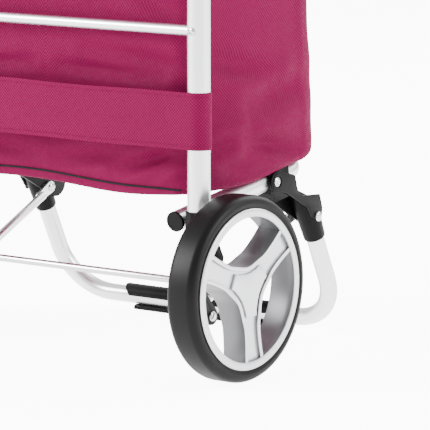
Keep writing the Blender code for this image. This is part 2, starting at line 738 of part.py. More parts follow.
def foot_shoe():
    """Moulding clipped over the ground bar; the bar's lower rear side stays bare."""
    inner_r = LEG_R + GAP
    outer_r = inner_r + SHOE_WALL
    y, z = LEG_BAR
    outline = arc(LEG_BAR, outer_r, 155.0, -10.0, 8)
    outline += [(y + outer_r - 0.0025, 0.0), (y - 0.0095, 0.0)]
    outline += arc(LEG_BAR, inner_r, 232.0, 515.0, 12)
    body = prism(outline, -SHOE_HALF, SHOE_HALF)
    for vert in body.verts:
        vert.co.x -= math.copysign(SHOE_SLANT * (z + outer_r - vert.co.z), vert.co.x)
    return cut(body, straight_tube((0.0, y, z), (0.0, y, z + 0.03), SHOE_SCREW_R + GAP, None, SMALL))


def foot_screw():
    y, z = LEG_BAR
    top = z + LEG_R + GAP + SHOE_WALL + GAP
    shank = straight_tube((0.0, y, z + LEG_R + GAP), (0.0, y, top + 0.0008), SHOE_SCREW_R, None, SMALL)
    head = straight_tube((0.0, y, top), (0.0, y, top + 0.0014), SHOE_SCREW_HEAD_R, None, SMALL)
    return join(head, shank)


def leg():
    place("leg_tube", leg_tube(), aluminium(), LEG_PIVOT)
    pair("leg_knuckle", knuckle, black_plastic(), LEG_PIVOT)
    pair("leg_rivet", leg_rivet, steel(), LEG_PIVOT)
    pair("sleeve_rivet", sleeve_rivet, steel(), LEG_PIVOT)
    place("foot_shoe", foot_shoe(), black_plastic(), LEG_PIVOT)
    place("foot_screw", foot_screw(), steel(), LEG_PIVOT)


# Struts

def strut():
    """Round link with flattened ends, riveted to the leg and bolted to the bracket."""
    low, high = Vector(STRUT_LOW), Vector(STRUT_HIGH)
    along = (high - low).normalized()
    inner_x = STRUT_FACE_X - STRUT_THICK
    start, end = low + along * STRUT_FLAT * 0.6, high - along * STRUT_FLAT * 0.6
    body = straight_tube((inner_x, *start), (inner_x, *end), STRUT_R, None, 12)
    for eye, away in ((low, along), (high, -along)):
        outline = capsule(eye, STRUT_EYE_R, eye + away * STRUT_FLAT, STRUT_R * 0.9)
        body = join(body, prism(outline, inner_x, STRUT_FACE_X))
        body = cut(body, rod(STRUT_PIN_R + GAP, DRILL_IN, RAIL_HALF, eye))
    return body


def strut_rivet():
    """Short rivet in the strut's upper eye: the linkage is opened between it and the sleeve."""
    inner_x = STRUT_FACE_X - STRUT_THICK - GAP
    profile = [(0.0, STRUT_FACE_X), (STRUT_PIN_R, STRUT_FACE_X), (STRUT_PIN_R, inner_x),
               (STRUT_HEAD_R, inner_x), (STRUT_HEAD_R * 0.7, inner_x - STRUT_HEAD),
               (0.0, inner_x - STRUT_HEAD)]
    return turned(profile, SMALL, STRUT_HIGH)


def strut_bolt():
    inner_x = STRUT_FACE_X - STRUT_THICK - GAP
    outer_x = ARM_OUTER_X + GAP
    profile = [(0.0, inner_x - 0.003), (STRUT_HEAD_R, inner_x - 0.003), (STRUT_HEAD_R, inner_x),
               (STRUT_PIN_R, inner_x), (STRUT_PIN_R, outer_x), (STRUT_HEAD_R, outer_x),
               (STRUT_HEAD_R, outer_x + 0.003), (0.0, outer_x + 0.003)]
    return turned(profile, SMALL, STRUT_LOW)


def struts():
    pair("strut", strut, aluminium(), STRUT_LOW)
    pair("strut_rivet", strut_rivet, steel(), STRUT_LOW)
    pair("strut_bolt", strut_bolt, steel(), STRUT_LOW)


# Bag

def bag_floor(y):
    """Height of the bag's underside at a distance forward."""
    rise = (BAG_LOW_FRONT - BAG_LOW_BACK) / (BAG_FRONT - BAG_BACK)
    return BAG_LOW_BACK + rise * (y - BAG_BACK)


def sloped(bm, low, lift):
    """Lowers the bottom ring of an upright prism onto the bag's sloping underside."""
    for vert in bm.verts:
        if vert.co.z < low + 0.0001:
            vert.co.z = bag_floor(vert.co.y) + lift
    return bm


def bag_shell():
    plan = rounded_plan(BAG_HALF, BAG_BACK, BAG_FRONT, BAG_CORNER_BACK, BAG_CORNER_FRONT)
    inside = rounded_plan(BAG_HALF - BAG_WALL, BAG_BACK + BAG_WALL, BAG_FRONT - BAG_WALL,
                          BAG_CORNER_BACK - BAG_WALL, BAG_CORNER_FRONT - BAG_WALL)
    body = sloped(prism(plan, 0.1, BAG_TOP, "z"), 0.1, 0.0)
    space = sloped(prism(inside, 0.1, BAG_TOP + 0.02, "z"), 0.1, BAG_WALL)
    return cut(body, space)


def base_board():
    inset = BAG_WALL + BOARD_MARGIN
    plan = rounded_plan(BAG_HALF - inset, BAG_BACK + inset, BAG_FRONT - inset,
                        BAG_CORNER_BACK - inset, BAG_CORNER_FRONT - inset, 3)
    board = prism(plan, 0.1, 0.2, "z")
    for vert in board.verts:
        lift = BAG_WALL + GAP + (BOARD_THICK if vert.co.z > 0.15 else 0.0)
        vert.co.z = bag_floor(vert.co.y) + lift
    return board


def bag_band():
    """Tunnel strap: sewn to the bag's sides and wrapped round both posts."""
    wrap = POST_R + GAP + 0.5 * BAND_THICK
    side_x = BAG_HALF + GAP + 0.5 * BAND_THICK
    run = [(side_x, BAND_REACH), (side_x, BAG_BACK + BAG_CORNER_BACK + 0.002)]
    run += arc((POST_HALF, POST_Y), wrap, 50.0, -90.0, 6)
    path = run + [(-x, y) for x, y in reversed(run)]
    return prism(ribbon(path, BAND_THICK), BAND_LOW, BAND_HIGH, "z")


def hanging_loop():
    """Hook-and-loop strap that ties the bag's back to the upper crossbar."""
    wrap = CROSSBAR_R + GAP + 0.5 * LOOP_THICK
    centre = (POST_Y, CROSSBAR_HEIGHTS[1])
    start = BAG_BACK - GAP - 0.002
    path = [(start, centre[1] + wrap)] + arc(centre, wrap, 90.0, 270.0, 6) + [(start, centre[1] - wrap)]
    return prism(ribbon(path, LOOP_THICK), LOOP_X - 0.5 * LOOP_WIDTH, LOOP_X + 0.5 * LOOP_WIDTH)


def lid_hinge():
    return BAG_BACK, BAG_TOP + LID_CLEAR


def lid():
    """Flap with a skirt down its front and sides, sewn to the bag along its back edge."""
    grow = LID_CLEAR + BAG_WALL
    plan = rounded_plan(BAG_HALF + grow, BAG_BACK, BAG_FRONT + grow, 0.012, BAG_CORNER_FRONT + grow)
    inside = rounded_plan(BAG_HALF + LID_CLEAR, BAG_BACK - 0.03, BAG_FRONT + LID_CLEAR, 0.012,
                          BAG_CORNER_FRONT + LID_CLEAR)
    under = BAG_TOP + LID_CLEAR
    body = prism(plan, BAG_TOP - LID_SKIRT, under + LID_THICK, "z")
    return cut(body, prism(inside, BAG_TOP - LID_SKIRT - 0.02, under, "z"))


def bag_pocket():
    low, high, front = POCKET_LOW, POCKET_HIGH, BAG_FRONT + GAP
    outline = [(front, low), (front + POCKET_THICK * 0.7, low + 0.006), (front + POCKET_THICK, low + 0.03),
               (front + POCKET_THICK, high - 0.05), (front + POCKET_THICK * 0.5, high), (front, high)]
    return prism(outline, -POCKET_HALF, POCKET_HALF)


def strap(low, high, y):
    outline = [(y, low), (y + STRAP_THICK, low), (y + STRAP_THICK, high), (y, high)]
    return prism(outline, -STRAP_HALF, STRAP_HALF)


def buckle_half(low, high, y):
    """Flat moulding with bevelled long edges."""
    body = prism([(y, low), (y + BUCKLE_THICK, low + 0.003), (y + BUCKLE_THICK, high - 0.003), (y, high)],
                 -BUCKLE_HALF, BUCKLE_HALF)
    for vert in body.verts:
        if vert.co.y > y + 0.001:
            vert.co.x *= 0.85
    return body


def bag():
    place("bag_shell", bag_shell(), fabric())
    place("base_board", base_board(), black_plastic())
    place("bag_band", bag_band(), fabric())
    pair("hanging_loop", hanging_loop, webbing())
    place("bag_pocket", bag_pocket(), fabric())
    place("lid", lid(), fabric(), lid_hinge())
    skirt_y = BAG_FRONT + LID_CLEAR + BAG_WALL + GAP
    place("lid_strap", strap(BUCKLE_TOP + GAP, BAG_TOP - 0.010, skirt_y), webbing(), lid_hinge())
    plug = buckle_half(BUCKLE_MIDDLE + GAP, BUCKLE_TOP, BAG_FRONT + GAP)
    place("buckle_plug", plug, black_plastic(), lid_hinge())
    place("buckle_socket", buckle_half(BUCKLE_LOW, BUCKLE_MIDDLE, BAG_FRONT + GAP), black_plastic())
    place("bag_strap", strap(POCKET_HIGH + 0.004, BUCKLE_LOW - GAP, BAG_FRONT + GAP), webbing())


def main():
    clear_scene()
    carrier = bpy.data.objects.new("trolley", None)
    carrier.location = (0.0, AXLE_Y, 0.0)
    bpy.context.scene.collection.objects.link(carrier)
    upright_frame()
    brackets()
    wheels()
    platform()
    leg()
    struts()
    bag()


main()
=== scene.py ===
import json
import math
from contextlib import contextmanager

import bpy
from bpy.props import FloatProperty, FloatVectorProperty, IntProperty, PointerProperty
from mathutils import Matrix, Vector, noise


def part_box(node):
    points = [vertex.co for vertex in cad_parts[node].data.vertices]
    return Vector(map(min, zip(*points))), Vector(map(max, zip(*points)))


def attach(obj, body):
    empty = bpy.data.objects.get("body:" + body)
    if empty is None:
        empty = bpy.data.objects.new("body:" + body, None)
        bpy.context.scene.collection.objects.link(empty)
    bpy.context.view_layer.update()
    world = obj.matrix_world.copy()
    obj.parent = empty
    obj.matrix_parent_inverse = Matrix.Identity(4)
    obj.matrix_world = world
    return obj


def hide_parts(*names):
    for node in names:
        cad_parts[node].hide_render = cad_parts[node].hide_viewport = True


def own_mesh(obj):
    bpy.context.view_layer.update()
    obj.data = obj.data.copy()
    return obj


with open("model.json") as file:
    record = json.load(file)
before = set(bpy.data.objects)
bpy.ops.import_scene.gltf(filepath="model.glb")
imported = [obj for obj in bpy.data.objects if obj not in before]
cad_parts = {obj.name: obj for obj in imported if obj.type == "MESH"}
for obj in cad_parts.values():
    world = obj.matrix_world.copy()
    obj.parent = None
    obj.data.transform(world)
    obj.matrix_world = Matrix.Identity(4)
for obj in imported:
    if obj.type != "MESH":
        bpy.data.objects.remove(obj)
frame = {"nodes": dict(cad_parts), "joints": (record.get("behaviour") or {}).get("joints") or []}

bl_info = {
    "name": "Folding shopping trolley",
    "version": (1, 0, 0),
    "blender": (4, 5, 0),
    "location": "3D View > Sidebar > Trolley",
    "description": "Models the tubes, wheels, mouldings and bag of a folding shopping trolley",
    "category": "Object",
}

JOINTS = {joint["name"]: joint for joint in frame["joints"]}
SIDES = ("right", "left")


def box(node):
    return [Vector(corner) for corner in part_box(node)]


def middle(node):
    return 0.5 * sum(box(node), Vector())


def span(node):
    low, high = box(node)
    return high - low


# Places read from the frame
AXLE = Vector(JOINTS["wheel_right_spin"]["pos_m"])
PLATFORM_PIVOT = Vector(JOINTS["platform_fold"]["pos_m"])
LEG_PIVOT = Vector(JOINTS["leg_fold"]["pos_m"])
STRUT_LOW = Vector(JOINTS["strut_right_fold"]["pos_m"])
STRUT_HIGH = Vector((STRUT_LOW.x, *middle("sleeve_rivet_right").yz))
POST = middle("post_right")
POST_R = 0.5 * span("post_right").x
RAIL_HALF = middle("platform_cap_right").x
PLATFORM_R = 0.5 * span("platform_cap_right").x
TILT = math.atan2(LEG_PIVOT.z - PLATFORM_PIVOT.z, LEG_PIVOT.y - PLATFORM_PIVOT.y)
BAG_LOW, BAG_HIGH = box("bag_shell")
LID_LOW, LID_HIGH = box("lid")
BAG_MIDDLE_Y = 0.5 * (BAG_LOW.y + BAG_HIGH.y)

# Sizes that the frame's boxes don't give
GAP = 0.0003
TUBE_WALL = 0.0015
BOW_RISE = 0.105
BOW_LEAN = math.radians(30.0)
BOW_BEND_R = 0.090
BOW_REACH = 0.075
BOW_CORNER_R = 0.060
PLATFORM_DEPTH = 0.22557
PLATFORM_TAIL = 0.0065
PLATFORM_CORNER_R = 0.040
LEG_R = 0.010
LEG_BAR = Vector((0.0, AXLE.y + 0.2825, 0.016))
LEG_LEAN = math.radians(25.2)
ACROSS = (1.0, 0.0, 0.0)
LEG_LENGTH = 0.160
LEG_CORNER_R = 0.060
SPOKE_TURNS = tuple(math.radians(angle) for angle in (36.0, 156.0, 276.0))
BEND_STEPS = 10
QUARTER_TURN = [0.5 * math.pi * k / 6 for k in range(7)]
BAG_FLOOR_BACK = 0.194
BAG_FLOOR_FRONT = 0.219
BAG_CORNER_BACK = 0.025
BAG_CORNER_FRONT = 0.045
STRUT_R = 0.005
STRUT_EYE_R = 0.007
STRUT_FLAT = 0.022
TYRE_SEAT = 0.0863
TYRE_SHOULDER = 0.0085
RIVET_DOME = 0.0022
BOW_BORE = POST_R - 0.0018
SLEEVE_FOOT = 0.115
SLEEVE_TOP = 0.182
SLEEVE_CUT = 0.170
CHEEK_THICK = 0.0036
CHEEK_R = 0.0118
GRIP_RIBS = 26
RIM_FACE_DEPTH = 0.0030

# Sewing
STITCH_STEP = 0.0045
STITCH_LENGTH = 0.0032
THREAD_R = 0.0004
WELT_R = 0.0017
PIPING_REACH = 0.158        # share of the outline on each side of the middle of the back
CORNER_SHARE = 0.393        # place of the front corner on the right-hand half
FLOOR_SHARE = 0.14          # part of the bag's sheet that makes its floor
LID_TOP_SHARE = 0.52

# Studio: lights as name, place, size and power
LIGHTS = (("key_light", (-3.0, -3.2, 2.4), 2.0, 430.0),
          ("side_light", (3.9, 1.5, 2.0), 2.0, 190.0),
          ("front_light", (0.5, 3.2, 2.6), 2.4, 110.0))
LIGHT_AIM = Vector((0.0, 0.0, 0.35))
WORLD_STRENGTH = 1.45
FLOOR_GLOW = 2.0            # light the floor gives the trolley
FLOOR_WHITE = 9.0           # and what the camera sees of it
CAMERA_PLACE = Vector((2.396, AXLE.y - 2.7804, 0.6922))
CAMERA_AIM = Vector((-2.0351, 2.6219, -0.4873))
CAMERA_LENS = 280.85


def count(name, description, default, least):
    return IntProperty(name=name, description=description, default=default, min=least)


def length(name, description, default):
    return FloatProperty(name=name, description=description, default=default, unit="LENGTH")


def colour(name, description, default):
    return FloatVectorProperty(name=name, description=description, subtype="COLOR", size=3,
                               default=default)


class TrolleySizes(bpy.types.PropertyGroup):
    tube_sides: count("Tube roundness", "Bevel resolution of the tubes", 10, 4)
    wheel_steps: count("Wheel roundness", "Steps round each wheel", 120, 24)
    edge_break: length("Edge break", "Rounding of moulded edges", 0.0008)
    weave_pitch: length("Weave pitch", "Distance between threads", 0.0018)
    piping_radius: length("Piping radius", "Radius of the bag's edge piping", 0.0011)
    wrinkle_depth: length("Wrinkle depth", "Depth of the bag's folds", 0.0036)
    cloth_thickness: length("Cloth thickness", "Fabric with its lining", 0.0014)


class TrolleyColours(bpy.types.PropertyGroup):
    fabric: colour("Fabric", "Polyester colour", (0.172, 0.0016, 0.045))
    metal: colour("Aluminium", "Anodised tube colour", (0.80, 0.805, 0.82))
    wheel: colour("Wheel silver", "Rim colour", (0.62, 0.625, 0.65))
    plastic: colour("Black plastic", "Moulding colour", (0.0022, 0.0020, 0.0022))
    rubber: colour("Tyre", "Tyre colour", (0.0020, 0.0017, 0.0019))


def sizes():
    return bpy.context.scene.trolley_sizes


def colours():
    return bpy.context.scene.trolley_colours


# Node groups shared by the materials

def new_group(name, inputs, outputs):
    group = bpy.data.node_groups.new(name, "ShaderNodeTree")
    for label, kind, value in inputs:
        socket = group.interface.new_socket(label, in_out="INPUT", socket_type=kind)
        if value is not None:
            socket.default_value = value
    for label, kind in outputs:
        group.interface.new_socket(label, in_out="OUTPUT", socket_type=kind)
    entry = group.nodes.new("NodeGroupInput")
    leave = group.nodes.new("NodeGroupOutput")
    return group, entry, leave


def math_node(tree, operation, first, second=None, clamp=False):
    node = tree.nodes.new("ShaderNodeMath")
    node.operation = operation
    node.use_clamp = clamp
    for index, value in enumerate((first, second)):
        if value is None:
            continue
        if isinstance(value, (int, float)):
            node.inputs[index].default_value = value
        else:
            tree.links.new(value, node.inputs[index])
    return node.outputs[0]


def weave_group():
    """Plain weave from UV metres: threads that go over, and a mask of those that go under."""
    group = bpy.data.node_groups.get("weave")
    if group:
        return group
    group, entry, leave = new_group("weave", [("Vector", "NodeSocketVector", None),
                                              ("Pitch", "NodeSocketFloat", 0.0013)],
                                    [("Height", "NodeSocketFloat"), ("Gap", "NodeSocketFloat")])
    split = group.nodes.new("ShaderNodeSeparateXYZ")
    group.links.new(entry.outputs["Vector"], split.inputs[0])
    rate = math_node(group, "DIVIDE", math.pi, entry.outputs["Pitch"])
    waves = [math_node(group, "SINE", math_node(group, "MULTIPLY", split.outputs[axis], rate))
             for axis in (0, 1)]
    product = math_node(group, "MULTIPLY", waves[0], waves[1])
    height = math_node(group, "ADD", math_node(group, "MULTIPLY", product, 0.5), 0.5)
    gap = math_node(group, "SUBTRACT", 1.0, height, True)
    group.links.new(height, leave.inputs["Height"])
    group.links.new(gap, leave.inputs["Gap"])
    return group


def patina_group():
    """Slow blotches and fine scuffs over a surface, for colour, roughness and relief."""
    group = bpy.data.node_groups.get("patina")
    if group:
        return group
    group, entry, leave = new_group("patina", [("Vector", "NodeSocketVector", None),
                                               ("Broad", "NodeSocketFloat", 12.0),
                                               ("Fine", "NodeSocketFloat", 600.0)],
                                    [("Blotch", "NodeSocketFloat"), ("Scuff", "NodeSocketFloat")])
    for label, detail, output in (("Broad", 3.0, "Blotch"), ("Fine", 5.0, "Scuff")):
        cloud = group.nodes.new("ShaderNodeTexNoise")
        cloud.inputs["Detail"].default_value = detail
        group.links.new(entry.outputs["Vector"], cloud.inputs["Vector"])
        group.links.new(entry.outputs[label], cloud.inputs["Scale"])
        group.links.new(cloud.outputs["Fac"], leave.inputs[output])
    return group


def tint(colour, factor):
    return tuple(min(channel * factor, 1.0) for channel in colour)


def blend_colour(tree, mask, first, second):
    mix = tree.nodes.new("ShaderNodeMix")
    mix.data_type = "RGBA"
    mix.inputs["A"].default_value = (*first, 1.0)
    mix.inputs["B"].default_value = (*second, 1.0)
    tree.links.new(mask, mix.inputs["Factor"])
    return mix.outputs["Result"]


def spread(tree, mask, low, high):
    node = tree.nodes.new("ShaderNodeMapRange")
    set_inputs(node, {"From Min": 0.3, "From Max": 0.7, "To Min": low, "To Max": high})
    tree.links.new(mask, node.inputs["Value"])
    return node.outputs["Result"]


def group_node(tree, group, **values):
    node = tree.nodes.new("ShaderNodeGroup")
    node.node_tree = group
    set_inputs(node, values)
    return node


def set_inputs(node, values):
    for label, value in values.items():
        node.inputs[label.replace("_", " ")].default_value = value


def relieve(tree, height, strength, distance):
    """Bump on the principled shader."""
    bump = tree.nodes.new("ShaderNodeBump")
    set_inputs(bump, {"Strength": strength, "Distance": distance})
    tree.links.new(height, bump.inputs["Height"])
    tree.links.new(bump.outputs["Normal"], tree.nodes["Principled BSDF"].inputs["Normal"])


def principled(name):
    """Material of this name with its tree and shader, and whether it is new."""
    mat, fresh = bpy.data.materials.get(name), False
    if not mat:
        mat, fresh = bpy.data.materials.new(name), True
        mat.use_nodes = True
    return mat, mat.node_tree, mat.node_tree.nodes["Principled BSDF"], fresh


def finish_material(name, base, rough, metallic, broad, fine, relief, shade,
                    stretch=(1.0, 1.0, 1.0), coat=0.0, sheen=0.0, gloss=0.5):
    """Principled finish whose colour, roughness and relief vary over the surface."""
    mat, tree, shader, fresh = principled(name)
    if not fresh:
        return mat
    place = tree.nodes.new("ShaderNodeTexCoord")
    mapping = tree.nodes.new("ShaderNodeMapping")
    mapping.inputs["Scale"].default_value = stretch
    tree.links.new(place.outputs["Object"], mapping.inputs["Vector"])
    patina = group_node(tree, patina_group(), Broad=broad, Fine=fine)
    blotch, scuff = patina.outputs["Blotch"], patina.outputs["Scuff"]
    tree.links.new(mapping.outputs["Vector"], patina.inputs["Vector"])
    blended = blend_colour(tree, blotch, tint(base, shade), tint(base, 2.0 - shade))
    tree.links.new(blended, shader.inputs["Base Color"])
    tree.links.new(spread(tree, scuff, rough * 0.85, rough * 1.15), shader.inputs["Roughness"])
    set_inputs(shader, {"Metallic": metallic, "Coat Weight": coat, "Sheen Weight": sheen,
                        "Specular IOR Level": gloss})
    relieve(tree, scuff, 0.6, relief)
    return mat


def cloth_material(name, base, pitch, relief, sheen):
    """Woven cloth on UV metres: threads, gaps darkened as painted shade, slow colour drift and a
    soft sheen.
    """
    mat, tree, shader, fresh = principled(name)
    if not fresh:
        return mat
    place = tree.nodes.new("ShaderNodeTexCoord")
    weave = group_node(tree, weave_group(), Pitch=pitch)
    tree.links.new(place.outputs["UV"], weave.inputs["Vector"])
    patina = group_node(tree, patina_group(), Broad=6.0, Fine=220.0)
    tree.links.new(place.outputs["Object"], patina.inputs["Vector"])
    drift = tree.nodes.new("ShaderNodeMix")
    drift.data_type = "RGBA"
    drift.blend_type = "MULTIPLY"
    drift.inputs["Factor"].default_value = 0.35
    # Gaps between threads take a much darker tint of the cloth colour: painted shade.
    threads = blend_colour(tree, weave.outputs["Gap"], tint(base, 1.30), tint(base, 0.36))
    tree.links.new(threads, drift.inputs["A"])
    tree.links.new(patina.outputs["Blotch"], drift.inputs["B"])
    tree.links.new(drift.outputs["Result"], shader.inputs["Base Color"])
    tree.links.new(spread(tree, patina.outputs["Scuff"], 0.60, 0.78), shader.inputs["Roughness"])
    set_inputs(shader, {"Specular IOR Level": 0.06, "Sheen Weight": sheen, "Sheen Roughness": 0.45,
                        "Sheen Tint": (*tint(base, 2.5), 1.0)})
    relieve(tree, weave.outputs["Height"], 0.7, relief)
    return mat


def anodised():
    return finish_material("anodised_aluminium", colours().metal, 0.34, 1.0, 9.0, 900.0, 0.00002,
                           0.985, stretch=(1.0, 1.0, 0.15))


def bright_steel():
    return finish_material("bright_steel", (0.62, 0.62, 0.64), 0.18, 1.0, 60.0, 1500.0, 0.00001,
                           0.96)


def moulded_black():
    return finish_material("moulded_black", colours().plastic, 0.42, 0.0, 25.0, 1800.0, 0.00003,
                           0.85, gloss=0.09)


def wheel_silver():
    return finish_material("rim_silver", colours().wheel, 0.30, 0.70, 18.0, 1600.0, 0.00001,
                           0.97, coat=0.15)


def wheel_shade():
    """Silver darkened as painted shade, inside the rim and down the spokes' side walls."""
    return finish_material("wheel_shade", tint(colours().wheel, 0.24), 0.38, 0.70, 18.0, 1600.0,
                           0.00001, 0.95)


def tyre_rubber():
    return finish_material("tyre_compound", colours().rubber, 0.42, 0.0, 20.0, 1400.0, 0.00003,
                           0.85, gloss=0.12)


def grip_foam():
    return finish_material("ribbed_foam", (0.018, 0.018, 0.020), 0.85, 0.0, 30.0, 700.0, 0.0003,
                           0.7, sheen=0.2)


def plum_fabric():
    return cloth_material("plum_fabric", colours().fabric, sizes().weave_pitch, 0.00030, 0.12)


def black_webbing():
    return cloth_material("black_webbing", (0.020, 0.019, 0.022), 0.0022, 0.0005, 0.1)


# Modelling helpers

def deselect():
    if bpy.context.mode != "OBJECT":
        bpy.ops.object.mode_set(mode="OBJECT")
    bpy.ops.object.select_all(action="DESELECT")


def choose(obj):
    deselect()
    obj.select_set(True)
    bpy.context.view_layer.objects.active = obj


def newest(name):
    obj = bpy.context.object
    obj.name = name
    obj.data.name = name
    return obj


@contextmanager
def editing(obj):
    """Edit mode with the whole mesh selected."""
    choose(obj)
    bpy.ops.object.mode_set(mode="EDIT")
    bpy.ops.mesh.select_all(action="SELECT")
    yield
    bpy.ops.object.mode_set(mode="OBJECT")


def apply_modifier(obj, kind, **settings):
    choose(obj)
    modifier = obj.modifiers.new(kind.lower(), kind)
    for key, value in settings.items():
        setattr(modifier, key, value)
    bpy.ops.object.modifier_apply(modifier=modifier.name)


def place_mesh(obj):
    """Puts the object's place into its mesh and leaves the object at the origin."""
    choose(obj)
    bpy.ops.object.transform_apply(location=True, rotation=True, scale=True)


def tidy_mesh(obj, merge=0.00001):
    with editing(obj):
        bpy.ops.mesh.remove_doubles(threshold=merge)
        bpy.ops.mesh.normals_make_consistent(inside=False)


def smooth(obj, angle=35.0):
    choose(obj)
    bpy.ops.object.shade_smooth_by_angle(angle=math.radians(angle))


def bevel(obj, width, segments=2, angle=30.0):
    apply_modifier(obj, "BEVEL", width=width, segments=segments, limit_method="ANGLE",
                   angle_limit=math.radians(angle), use_clamp_overlap=True)


def finish(obj, material, slot, body, *nodes):
    obj.data.materials.clear()
    obj.data.materials.append(material)
    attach(obj, body)
    if nodes:
        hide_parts(*nodes)
    return obj


def merge_objects(name, pieces):
    deselect()
    for piece in pieces:
        piece.select_set(True)
    bpy.context.view_layer.objects.active = pieces[0]
    if len(pieces) > 1:
        bpy.ops.object.join()
    return newest(name)


def mirrored(obj, name):
    """A copy with its own mesh, reflected to the left-hand side."""
    choose(obj)
    bpy.ops.object.duplicate(linked=False)
    copy = newest(name)
    copy.scale.x = -1.0
    place_mesh(copy)
    with editing(copy):
        bpy.ops.mesh.flip_normals()
    first, second = obj.data.polygons[0].normal, copy.data.polygons[0].normal
    if first.x * second.x > 0.01 or first.y * second.y < -0.01 or first.z * second.z < -0.01:
        with editing(copy):
            bpy.ops.mesh.flip_normals()
    return copy


def finish_pair(right, material, slot, body, node, shared=True):
    """Finishes a right-hand piece and its reflection; a body's {} stands for the side.
    The right node of a shared pair is hidden before the reflection is made."""
    if shared:
        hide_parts(f"{node}_right")
    left = mirrored(right, right.name.replace("right", "left"))
    for piece, side in ((right, "right"), (left, "left")):
        finish(piece, material, slot, body.format(side), f"{node}_{side}")
    return left


def lathe(name, profile, origin, direction, steps):
    """Turns an open or closed (radius, height) profile round an axis by the spin tool."""
    bpy.ops.mesh.primitive_circle_add(vertices=max(len(profile), 3), radius=0.01)
    obj = newest(name)
    for vert, (radius, height) in zip(obj.data.vertices, profile):
        vert.co = (radius, 0.0, height)
    with editing(obj):
        bpy.ops.mesh.spin(steps=steps, angle=2.0 * math.pi, center=(0.0, 0.0, 0.0),
                          axis=(0.0, 0.0, 1.0), use_auto_merge=True)
    turn = Vector((0.0, 0.0, 1.0)).rotation_difference(Vector(direction)).to_matrix().to_4x4()
    obj.data.transform(Matrix.Translation(Vector(origin)) @ turn)
    tidy_mesh(obj)
    return obj


def plate(name, outline, push, width=0.0, segments=2):
    """Solid from a flat outline of points, extruded by push and with its edges broken."""
    bpy.ops.mesh.primitive_circle_add(vertices=len(outline), radius=0.01, fill_type="NGON")
    obj = newest(name)
    for vert, point in zip(obj.data.vertices, outline):
        vert.co = point
    with editing(obj):
        bpy.ops.mesh.extrude_region_move(TRANSFORM_OT_translate={"value": tuple(push)})
    tidy_mesh(obj)
    if width:
        bevel(obj, width, segments)
    return obj


def tube(name, path, radius, wall=0.0):
    """Round tube along a path of points, hollow when it has a wall."""
    curve = bpy.data.curves.new(name, "CURVE")
    curve.dimensions = "3D"
    curve.bevel_depth = radius
    curve.bevel_resolution = sizes().tube_sides
    curve.use_fill_caps = not wall
    spline = curve.splines.new("POLY")
    spline.points.add(len(path) - 1)
    for point, place in zip(spline.points, path):
        point.co = (*place, 1.0)
    obj = bpy.data.objects.new(name, curve)
    bpy.context.scene.collection.objects.link(obj)
    choose(obj)
    bpy.ops.object.convert(target="MESH")
    obj = newest(name)
    tidy_mesh(obj)
    if wall:
        apply_modifier(obj, "SOLIDIFY", thickness=wall, offset=-1.0)
    smooth(obj)
    return obj


def rod(name, start, end, radius, edge=0.0004):
    """Solid round bar with softened ends."""
    start, end = Vector(start), Vector(end)
    bpy.ops.mesh.primitive_cylinder_add(vertices=40, radius=radius, depth=(end - start).length,
                                        location=0.5 * (start + end))
    obj = newest(name)
    obj.rotation_euler = (end - start).to_track_quat("Z", "Y").to_euler()
    place_mesh(obj)
    bevel(obj, edge)
    smooth(obj)
    return obj


def refined_copy(node, name, width):
    """A merged copy of a frame node with its flat faces rebuilt and its edges broken."""
    choose(frame["nodes"][node])
    bpy.ops.object.duplicate(linked=False)
    obj = newest(name)
    for key in list(obj.keys()):
        del obj[key]
    obj.parent = None
    with editing(obj):
        bpy.ops.mesh.customdata_custom_splitnormals_clear()
        bpy.ops.mesh.remove_doubles(threshold=0.00001)
        bpy.ops.mesh.dissolve_limited(angle_limit=math.radians(1.0))
    bevel(obj, width, 2, 28.0)
    smooth(obj)
    return obj


def arc(centre, radius, start, end, steps):
    turns = [math.radians(start + (end - start) * k / steps) for k in range(steps + 1)]
    return [(centre[0] + radius * math.cos(t), centre[1] + radius * math.sin(t)) for t in turns]


def capsule(first, first_r, second, second_r, steps=16):
    away = math.degrees(math.atan2(second[1] - first[1], second[0] - first[0]))
    gap = math.hypot(second[0] - first[0], second[1] - first[1])
    swing = math.degrees(math.asin((second_r - first_r) / gap))
    outline = arc(first, first_r, away + 90.0 + swing, away + 270.0 - swing, steps)
    return outline + arc(second, second_r, away - 90.0 - swing, away + 90.0 + swing, steps)


def flat_yz(outline, x):
    return [(x, y, z) for y, z in outline]


def smooth_line(points, steps=6):
    """Catmull-Rom curve through flat points."""
    ends = [points[0]] + list(points) + [points[-1]]
    line = []
    for a, b, c, d in zip(ends, ends[1:], ends[2:], ends[3:]):
        for k in range(steps):
            t = k / steps
            line.append(tuple(0.5 * (2 * q + (r - p) * t + (2 * p - 5 * q + 4 * r - s) * t * t
                                     + (3 * q - p - 3 * r + s) * t ** 3)
                              for p, q, r, s in zip(a, b, c, d)))
    return line + [tuple(points[-1])]


def ribbon(line, width):
    left, right = [], []
    for i, point in enumerate(line):
        before, after = Vector(line[max(i - 1, 0)]), Vector(line[min(i + 1, len(line) - 1)])
        along = (after - before).normalized()
        out = Vector((-along.y, along.x)) * (0.5 * width)
        left.append((point[0] + out.x, point[1] + out.y))
        right.append((point[0] - out.x, point[1] - out.y))
    return left + right[::-1]


def hoop(half, length, corner, spine, stations):
    """Path of a U: up the right side, across and down the left; spine gives (y, z) along it."""
    flat = [(half, s) for s in stations if s < length - corner - 0.001]
    flat += [(half - corner + corner * math.cos(t), length - corner + corner * math.sin(t))
             for t in (0.5 * math.pi * k / BEND_STEPS for k in range(BEND_STEPS + 1))]
    flat += [(-x, s) for x, s in reversed(flat)]
    return [(x, *spine(s)) for x, s in flat]


# Tubes

